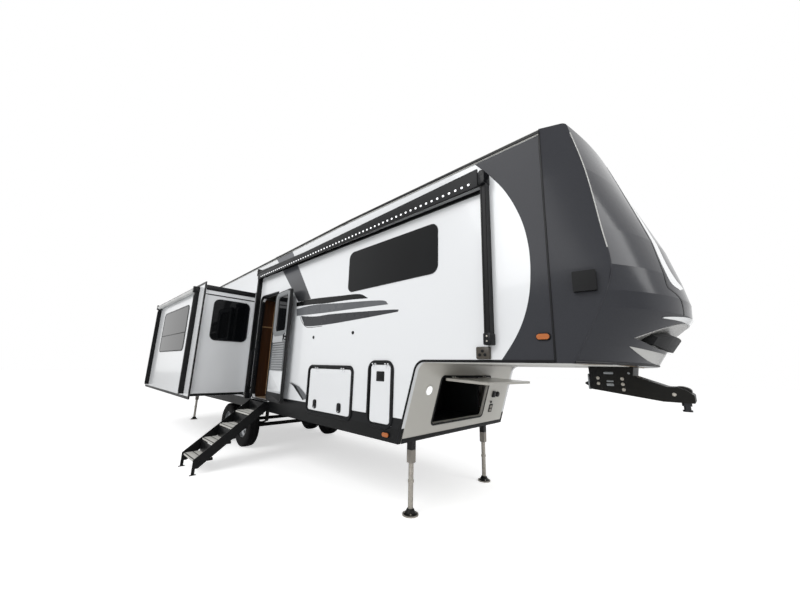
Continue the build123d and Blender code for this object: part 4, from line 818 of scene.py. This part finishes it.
# Moulded skin in a black frame: mottled pale grey, with a flat dark rim.
leaf_finish, tree, surface = new_material("grey_door_with_black_rim", "door_panel", Roughness=0.38)
point = object_point(tree)
spread = add_node(tree, "VectorMath", {0: point, 1: tuple(-toward_hinge)}, operation="DOT_PRODUCT")
height = add_node(tree, "SeparateXYZ", {0: point})
past = []
for measure, middle, limit in ((spread.outputs["Value"], float(door_middle @ -toward_hinge), RIM_U),
        (height.outputs["Z"], LEAF_MIDDLE_Z, RIM_V)):
    offset = add_node(tree, "Math", {0: measure, 1: middle}, operation="SUBTRACT")
    distance = add_node(tree, "Math", {0: offset.outputs[0]}, operation="ABSOLUTE")
    past.append(add_node(tree, "Math", {0: distance.outputs[0], 1: limit}, operation="GREATER_THAN"))
rim = add_node(tree, "Math", {0: past[0].outputs[0], 1: past[1].outputs[0]}, operation="MAXIMUM")
mottle = add_node(tree, "TexNoise", {"Vector": point, "Scale": 3.0, "Detail": 4.0})
panel = add_node(tree, "Mix", {0: mottle.outputs[0], 6: linear("b3b5b7"), 7: linear("c4c6c8")},
    data_type="RGBA")
leaf_colour = add_node(tree, "Mix", {0: rim.outputs[0], 6: panel.outputs[2], 7: linear("0d0e0f")},
    data_type="RGBA")
tree.links.new(leaf_colour.outputs[2], surface.inputs["Base Color"])
nodes["entry_door"].data.materials[0] = leaf_finish
print("door leaf faces", door.axes[2].round(3))

# %% [markdown]
# On the leaf: a moulded frame round the window, a gasket, a screen guard of flat bars over the
# lower half, a latch and a dark kick plate.  The cabinet seen through the doorway has a pale
# edge band and a handle.

# %% Inner side of the entry door
# Moulded window frame: a mid grey, duller than the leaf.
frame_grey = grained("light_grey_moulded_door_frame", "door_panel", "85888a", 0.4, 1.5, 0.06,
    "7c7f81", gloss=0.3)
# Brushed flat bar: bright metal with a short grain.
screen_bar = grained("brushed_screen_guard_bar", "zinc_steel", "8f9294", 0.32, 1.2, 0.02,
    "7c7f81", metallic=1.0)
skin("door_window_surround", [door.rim((0.0, 0.56), (0.585, 0.725), 0.09, 0.085, 0.012)], frame_grey,
    "door_entry", ring=True)
skin("door_edge_gasket", [door.rim((0, 0), (0.682, 1.908), 0.06, 0.034, 0.010)], satin_black,
    "door_entry", ring=True)
skin("door_lower_panel", [door.plate((0, -0.625), (0.60, 0.33), 0.03, 0.006, 0.003)],
    white_gelcoat, "door_entry")
skin("door_kick_plate", [door.plate((0, -0.885), (0.65, 0.13), 0.015, 0.007, 0.003)],
    black_coat, "door_entry")
bars = [door.plate((0, z), (0.56, 0.016), 0.006, 0.006, 0.002, 0.010) for z in np.linspace(-0.43, 0.03, 12)]
bars += [door.plate((x, -0.20), (0.022, 0.50), 0.008, 0.010, 0.003) for x in (-0.29, 0.29)]
skin("door_screen_guard", bars, screen_bar, "door_entry")
skin("door_latch_plate", [door.plate((0.245, 0.130), (0.11, 0.17), 0.012, 0.010, 0.003)],
    latch_chrome, "door_entry")
skin("door_latch_handle", [door.plate((0.29, 0.125), (0.09, 0.026), 0.010, 0.016, 0.004, 0.010),
    door.turned((0.312, 0.075), [(0.01, 0.014), (0.018, 0.014), (0.02, 0.010)], 20)],
    cast_black, "door_entry")
# Oak edge band: pale, with a fine upright grain.
pale_wood = grained("pale_oak_edge_band", "cabinet_wood", "a98a66", 0.4, 20.0, 0.05, "8f7250",
    stretch=(1, 1, 0.05))
cabinet = Face((-0.56, 0, 0), LEFT, UP, FORE)
skin("cabinet_edge_band", [cabinet.plate((-0.93, 2.0), (0.032, 1.86), 0.006, 0.010, 0.003),
    cabinet.plate((-0.89, 2.42), (0.54, 0.022), 0.004, 0.008, 0.003)], pale_wood)
handle = [(x, -0.86, z) for x, z in ((-0.562, 1.50), (-0.545, 1.50), (-0.535, 1.51), (-0.535, 1.79),
    (-0.545, 1.80), (-0.562, 1.80))]
skin("cabinet_handle", [bent_tube(handle, 0.006, 10)], latch_chrome)
print("guard bars", len(bars))

# %% [markdown]
# Each room slide has sealed windows with a black rubber frame, white corner mouldings and an
# awning of pale vinyl rolled over its outer edge, with black end caps.

# %% Room slides
# Woven vinyl: off white, with a fine even cloth grain.
cover_vinyl = grained("pale_woven_awning_vinyl", "unit_white", "dcdddc", 0.5, 1.5, 0.1, "cccdcc")
OUTER_Y, TRIM_Y, ROLL_Z, STITCH_R = 2.22, 2.33, 3.102, 0.0475
ROOMS = [
    # word, side, x limits, outer windows, windows in the front end
    ("curb", -1, (-5.015, -0.915), [(-3.975, -1.825, 1.93, 2.83)], [(0.13, 0.76, 2.13, 2.88)]),
    ("road", 1, (-5.175, -1.475), [(-4.475, -3.325, 1.93, 2.83), (-2.875, -1.925, 2.13, 2.83)], []),
]
for word, side, (x_low, x_high), windows, end_windows in ROOMS:
    body = f"room_{word}"
    outer = Face((0, side * OUTER_Y, 0), FORE, UP, (0, side, 0))
    front_end = Face((x_high, side * HALF, 0), (0, side, 0), UP, FORE)
    rear_end = Face((x_low, side * HALF, 0), (0, side, 0), UP, AFT)
    frames = [face.rim(((a + b) / 2, (c + d) / 2), (b - a + 0.05, d - c + 0.05), 0.10, wide, 0.010, 0.002)
        for face, panes, wide in ((outer, windows, 0.024), (front_end, end_windows, 0.022))
        for a, b, c, d in panes]
    skin(f"slide_window_rubber_{word}", frames, satin_black, body, ring=True)
    skin(f"slide_sash_bars_{word}", [outer.plate(((a + b) / 2, (c + d) / 2 - 0.10), (b - a, 0.018), 0.004,
        0.004, 0.001, 0.0085) for a, b, c, d in windows], satin_black, body)
    both_ends = front_end, rear_end
    skin(f"slide_corner_mouldings_{word}", [end.moulding([(0.945, 1.06), (0.945, 2.1), (0.945, 3.16)], 0.045,
        0.006) for end in both_ends], white_gelcoat, body)
    skin(f"slide_end_bands_{word}", [end.moulding([(0.02, z), (0.5, z), (0.965, z)], tall, deep, 0.0005)
        for end in both_ends for z, tall, deep in ((3.118, 0.10, 0.010), (2.985, 0.022, 0.006),
        (1.075, 0.045, 0.008))], satin_black, body)
    arms, y = (x_low + 0.34, x_high - 0.34), side * (TRIM_Y - 0.048)
    angle = np.linspace(0, 2 * np.pi, 40, endpoint=False)
    spiral = 0.0466 + 0.0008 * angle / (2 * np.pi)
    x = np.linspace(arms[0] + 0.035, arms[1] - 0.035, 12)
    roll = np.broadcast_arrays(x[:, None], y + spiral * np.sin(angle), ROLL_Z + spiral * np.cos(angle))
    skin(f"slide_awning_roll_{word}", [np.stack(roll, axis=-1)], cover_vinyl, body)
    seams = [np.stack(np.broadcast_arrays(x, y + side * STITCH_R * math.cos(a), ROLL_Z
        + STITCH_R * math.sin(a)), 1) for a in np.radians((62, 8))]
    skin(f"slide_awning_seams_{word}", [bent_tube(line, 0.0035, 8) for line in seams], satin_black, body)
    ends = [outer.plate((a, 3.10), (0.078, 0.13), 0.03, 0.108, 0.006) for a in arms]
    ribs = [outer.moulding([(a + d, 1.12), (a + d, 2.0), (a + d, 2.98)], 0.016, 0.005, 0.0795) for a in arms
        for d in (-0.018, 0.018)]
    skin(f"slide_awning_ends_{word}", ends + ribs, cast_black, body)
print("slides dressed", len(ROOMS))

# %% [markdown]
# The folding steps have pressed aluminium treads with a pale grip strip along each edge, and
# bolts where the treads meet the stringers.  Black sheets close the gaps behind the treads as
# painted shade, where the open steps show only darkness.

# %% Steps
# Anti-slip tape: chalky and rough under the foot.
grip = grained("pale_anti_slip_tread_tape", "zinc_steel", "d6d5d0", 0.7, 1.2, 0.4, "c2c1bb")
STEP_MIDDLE, RISE, PITCH, STEPS = -0.08, 1.03 / 5, 0.245, 4
steps = [Face((STEP_MIDDLE, -(HALF + 0.075 + PITCH * (i + 0.5)), RISE * (4 - i)), FORE, RIGHT, UP)
    for i in range(STEPS)]


def riser(step, back, lift):
    """An upright face beside a tread: the tread's origin moved back from its middle and up by lift."""
    return Face(step.origin + [0, back, lift], FORE, UP, RIGHT)


skin("tread_grip_strips", [step.plate((0, v), (0.59, 0.098), 0.008, 0.003, 0.001) for step in steps
    for v in (-0.060, 0.058)] + [riser(step, -0.125, -0.017).plate((0, 0), (0.60, 0.026), 0.005, 0.003,
    0.001) for step in steps], grip)
# Black sheets behind the treads: painted shade in the gaps of the open steps.
skin("step_painted_shade_risers", [riser(step, 0.108, 0.0).plate((0, 0.086), (0.60, 0.168), 0.006, 0.004, 0.001)
    for step in steps], black_coat)
bolts = []
for end, way in ((-0.32, -1), (0.32, 1)):
    cheek = Face((STEP_MIDDLE + end, 0, 0), RIGHT, UP, (way, 0, 0))
    bolts += [cheek.turned((-s.origin[1] + d, s.origin[2] - 0.017),
        [(0, 0.011), (0.006, 0.011), (0.008, 0.007)], 6) for s in steps for d in (-0.07, 0.07)]
skin("step_bolts", bolts, black_coat)
print("step bolts", len(bolts))

# %% [markdown]
# A tyre is a turned form whose section bulges at mid height, with four grooves round the tread
# and blocks cut by slanted sipes.  The radius is a function of the angle round the wheel and
# the distance along the section, worked out for the whole grid at once.

# %% Tyre grid
R_TYRE, TRACK, SIPES = 0.391, 1.010, 60
GROOVES_AT, GROOVE_DEPTH, SIPE_DEPTH = (0.026, 0.062), 0.009, 0.0055
section = smooth_curve([(0.0895, 0.2045), (0.103, 0.212), (0.1135, 0.25), (0.1165, 0.29), (0.113, 0.335),
    (0.104, 0.363), (0.09, 0.381)], 22)
crown_y = np.linspace(0.082, -0.082, 83)
crown = np.stack([crown_y, 0.3905 - 0.9 * crown_y ** 2], axis=1)
outline = np.vstack([section, crown, (section * [-1, 1])[::-1]])
angle = np.linspace(0, 2 * np.pi, 360, endpoint=False)[:, None]
across, radius = outline[None, :, 0], outline[None, :, 1]
on_tread = np.clip((radius - 0.372) / 0.010, 0, 1)
grooves = np.any([np.abs(np.abs(across) - at) < 0.0045 for at in GROOVES_AT], axis=0)
lean = np.where(np.abs(across) > 0.066, SIPES * angle, SIPES * angle + 40 * across * np.sign(across))
sipes = (np.mod(lean / (2 * np.pi), 1) < 0.14) & (np.abs(across) > 0.030)
deep = on_tread * np.where(grooves, GROOVE_DEPTH, np.where(sipes, SIPE_DEPTH, 0.0))
rings = 0.0006 * np.exp(-((radius - 0.352) / 0.004) ** 2) + 0.0008 * np.exp(-((radius - 0.24) / 0.004) ** 2)
print("tyre grid", deep.shape)

# %% [markdown]
# The same grid stands at each of the four wheels, in place of the plain tyre, with six nuts and
# a stepped cap on the hub.

# %% Tyres and wheel nuts
AXLES = {"front": -1.100, "rear": -1.938}
NUT = [(0.0, 0.0115), (0.016, 0.0115), (0.022, 0.008), (0.023, 0.003)]
CAP = [(0.030, 0.048), (0.042, 0.048), (0.050, 0.043), (0.054, 0.030), (0.0555, 0.012), (0.056, 0.003)]
NUT_CIRCLE = 0.083
tread_r = radius - deep
for axle, x0 in AXLES.items():
    for word, side in (("curb", -1), ("road", 1)):
        wheel = f"{word}_{axle}"
        tyre = np.stack([x0 + tread_r * np.cos(angle), side * TRACK + across * (1 + rings / 0.1) + 0 * angle,
            R_TYRE + tread_r * np.sin(angle)], axis=-1)
        piece = skin(f"treaded_tyre_{wheel}", [tyre], tyre_rubber, f"wheel_{wheel}", ring=True)
        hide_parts(f"tyre_{wheel}")
        hub = Face((x0, side * (TRACK + 0.035), R_TYRE), FORE, UP, (0, side, 0))
        nuts = [hub.turned((NUT_CIRCLE * math.cos(a), NUT_CIRCLE * math.sin(a)), NUT, 6)
            for a in np.radians(np.arange(0, 360, 60) + 30)]
        skin(f"wheel_nuts_{wheel}", nuts, latch_chrome, f"wheel_{wheel}")
        skin(f"hub_cap_{wheel}", [hub.turned((0, 0), CAP, 32)], latch_chrome, f"wheel_{wheel}")
print("wheels dressed:", 2 * len(AXLES))

# %% [markdown]
# The pin box is bolted plate: bolt heads, a slot and a hole on each side plate, a bright
# bracket on its rear corner with a small rubber cone, and a hump over the head of the arm.

# %% Pin box hardware
PIN_SIDE = 0.165
BOLTS = [(5.229, 1.612), (5.230, 1.559), (5.434, 1.611), (5.436, 1.561), (5.439, 1.510), (5.808, 1.492)]
heads, slots, washers = [], [], []
for side in (-1, 1):
    cheek = Face((0, side * PIN_SIDE, 0), FORE, UP, (0, side, 0))
    washers += [cheek.turned(p, [(0, 0.0155), (0.003, 0.0155), (0.0035, 0.014)], 20) for p in BOLTS]
    heads += [cheek.turned(p, [(0.003, 0.0135), (0.013, 0.0135), (0.015, 0.010)], 6) for p in BOLTS]
    slots += [cheek.plate((5.324, 1.664), (0.085, 0.022), 0.010, 0.004, 0.001),
        cheek.plate((5.332, 1.585), (0.058, 0.016), 0.005, 0.005, 0.0015),
        cheek.plate((5.332, 1.552), (0.062, 0.026), 0.006, 0.006, 0.002),
        cheek.turned((5.492, 1.667), [(0, 0.011), (0.004, 0.011), (0.005, 0.009)], 16)]
skin("pin_box_washers", washers, zinc_steel)
skin("pin_box_bolt_heads", heads, zinc_steel)
skin("pin_box_plates", slots, screen_bar)
tail_face = Face((5.150, 0, 0), LEFT, UP, AFT)
skin("pin_box_corner_bracket", [tail_face.plate((y, 1.575), (0.085, 0.155), 0.02, 0.012, 0.003)
    for y in (-0.125, 0.125)], screen_bar)
skin("pin_box_rubber_cone", [tail_face.turned((y, 1.555),
    [(0.012, 0.024), (0.022, 0.022), (0.045, 0.010), (0.05, 0.004)], 20) for y in (-0.125, 0.125)], wear_pad,
    slot="trim_black")
hump_x = np.linspace(5.775, 5.925, 14)[:, None]
hump_top = 1.530 + 0.032 * np.sin(np.pi * (hump_x - 5.775) / 0.15) ** 0.6
hump_z = np.where([False, True, True, False], hump_top, 1.50)
hump = np.stack(np.broadcast_arrays(hump_x, np.array([-0.10, -0.085, 0.085, 0.10]), hump_z), axis=-1)
skin("pin_box_head_hump", [hump], frame_coat)
print("pin box bolts", len(heads))

# %% [markdown]
# The rear follows what such trailers have: lamp lenses in black bezels, dark mouldings on the
# corners and a rubber buffer at each end of the bumper.

# %% Rear
rear = Face((REAR, 0, 0), LEFT, UP, AFT)
skin("tail_lamp_bezels", [rear.rim((y, 1.25), (0.13, 0.33), 0.035, 0.018, 0.020) for y in (-1.115, 1.115)],
    satin_black, ring=True)
skin("rear_window_rubber", [rear.rim((0.0, 2.50), (1.35, 0.61), 0.10, 0.024, 0.012)], satin_black, ring=True)
skin("rear_marker_bar", [rear.plate((y, 3.50), (0.10, 0.028), 0.012, 0.018, 0.005)
    for y in (-0.2, 0.0, 0.2)], red_lens)
skin("rear_corner_mouldings", [rear.moulding([(y, 1.01), (y, 2.3), (y, 3.58)], 0.045, 0.008)
    for y in (-1.195, 1.195)], satin_black)
skin("rear_skirt_strip", [rear.moulding([(-1.165, 1.045), (0, 1.045), (1.165, 1.045)], 0.09,
    0.006)], charcoal)
skin("bumper_end_caps", [Face((-5.95, s * 1.15, 0.9), FORE, UP, (0, s, 0)).plate((0, 0), (0.135, 0.092),
    0.012, 0.016, 0.005) for s in (-1, 1)], wear_pad, slot="trim_black")
print("rear dressed")

# %% [markdown]
# On the roof stand two air units with finned shrouds and two vents with lids.  Behind the break
# the roof falls to the rear, so each unit's face leans by the same angle.

# %% Roof and ladder
RUNG_FOOT, RUNG_RUN, RUNGS = 1.25, 3.52 - 1.12 - 0.26, 8
UNITS = [
    # x, length, width, height, slope of the roof
    (3.300, 1.00, 0.72, 0.190, 0.0), (-2.900, 1.00, 0.72, 0.190, 0.0284),
    (1.350, 0.38, 0.38, 0.110, 0.0284), (-4.700, 0.38, 0.38, 0.110, 0.0284),
]
fins, lids, flanges = [], [], []
for x, long, wide, tall, tilt in UNITS:
    c, s = math.cos(math.atan(tilt)), math.sin(math.atan(tilt))
    top = Face((x, 0, float(roof_line(np.array(x)))), LEFT, (c, 0, s), (-s, 0, c))
    flanges.append(top.plate((0, 0), (wide + 0.06, long + 0.06), 0.10, 0.012, 0.004))
    if long > 0.5:
        fins += [top.plate((0, -long / 2 + 0.13 + 0.028 * k), (wide - 0.22, 0.012), 0.005, 0.012, 0.003,
            tall - 0.001) for k in range(9)]
        lids.append(top.plate((0, 0.14), (wide - 0.16, long * 0.48), 0.08, 0.010, 0.005, tall - 0.001))
    else:
        lids.append(top.plate((0, 0), (wide - 0.05, long - 0.05), 0.05, 0.028, 0.010, tall - 0.001))
skin("roof_unit_fins", fins, unit_white)
skin("roof_unit_lids", lids, unit_white)
skin("roof_unit_flanges", flanges, roof_skin)
rungs = [Face((REAR - 0.075, -0.88, RUNG_FOOT + i * RUNG_RUN / 7), LEFT, FORE, UP) for i in range(RUNGS)]
skin("ladder_tread_pads", [rung.plate((0, 0), (0.30, 0.034), 0.012, 0.010, 0.003, 0.004) for rung in rungs],
    wear_pad, slot="trim_black")
print("roof fins", len(fins))

# %% [markdown]
# The landing legs end in a cast hub on a pressed foot, and four bolts hold each foot.

# %% Legs
LEGS = [(x, y) for x in (3.335, -5.350) for y in (-0.8533, 0.8533)]
FOOT = [(0.0142, 0.083), (0.018, 0.081), (0.030, 0.060), (0.058, 0.046), (0.066, 0.040), (0.070, 0.0375)]
FOOT_BOLT, BOLT_CIRCLE = [(0.0145, 0.008), (0.030, 0.008), (0.032, 0.005)], 0.066
ground = [Face((x, y, 0), FORE, LEFT, UP) for x, y in LEGS]
skin("leg_foot_domes", [foot.turned((0, 0), FOOT, 32) for foot in ground], frame_coat)
skin("leg_foot_bolts", [foot.turned((BOLT_CIRCLE * math.cos(a), BOLT_CIRCLE * math.sin(a)), FOOT_BOLT, 6)
    for foot in ground for a in np.radians((45, 135, 225, 315))], zinc_steel)
print("legs dressed", len(LEGS))

# %% [markdown]
# A pale floor and a soft sky stand in for a studio.  The world lights everything evenly, two
# large lamps give the door side and the nose a direction, and the floor keeps the shadow.

# %% Floor
REACH, FLOOR_Z, FLOOR_LIFT = 60.0, -0.001, 0.57
floor_mesh = bpy.data.meshes.new("studio_floor")
floor_mesh.from_pydata([(x * REACH, y * REACH, FLOOR_Z) for x, y in ((-1, -1), (1, -1), (1, 1), (-1, 1))],
    [], [(0, 1, 2, 3)])
studio_floor = bpy.data.objects.new("studio_floor", floor_mesh)
bpy.context.scene.collection.objects.link(studio_floor)
# Painted board: a matt pale floor that the camera sees a little lighter than its shadow.
pale_floor, tree, surface = new_material("pale_studio_floor", Base_Color=linear("f0f0f0"), Roughness=0.9,
    Emission_Color=(1, 1, 1, 1))
seen = add_node(tree, "LightPath")
lift = add_node(tree, "Math", {0: seen.outputs["Is Camera Ray"], 1: FLOOR_LIFT}, operation="MULTIPLY")
tree.links.new(lift.outputs[0], surface.inputs["Emission Strength"])
floor_mesh.materials.append(pale_floor)
print("floor", 2 * REACH, "m wide")

# %% [markdown]
# The sky is half as strong for lighting as it looks to the camera and in mirrors, so that gloss
# and metal show a white room while pale walls keep their shade.

# %% Light
world = bpy.data.worlds.new("studio")
bpy.context.scene.world = world
world.use_nodes = True
tree = world.node_tree
background = tree.nodes["Background"]
ray = add_node(tree, "LightPath")
seen_or_mirrored = add_node(tree, "Math", {0: ray.outputs["Is Camera Ray"], 1: ray.outputs["Is Glossy Ray"]},
    operation="MAXIMUM")
strength = add_node(tree, "MapRange", {"Value": seen_or_mirrored.outputs[0], "To Min": 0.5, "To Max": 1.0})
tree.links.new(strength.outputs[0], background.inputs["Strength"])
background.inputs["Color"].default_value = (1, 1, 1, 1)


def area_lamp(name, place, aim, size, watts):
    """A square soft lamp at a place, turned so that its minus Z axis meets the aim."""
    data = bpy.data.lights.new(name, "AREA")
    data.shape, data.size, data.energy = "SQUARE", size, watts
    lamp = bpy.data.objects.new(name, data)
    turned = (Vector(aim) - Vector(place)).to_track_quat("-Z", "Y").to_matrix().to_4x4()
    lamp.matrix_world = Matrix.Translation(place) @ turned
    bpy.context.scene.collection.objects.link(lamp)


area_lamp("door_side_softbox", (2.0, -12.0, 10.0), (0, 0, 2), 9.0, 1000)
area_lamp("nose_softbox", (15.0, 2.0, 8.0), (3, 0, 2), 7.0, 700)
print("studio ready")
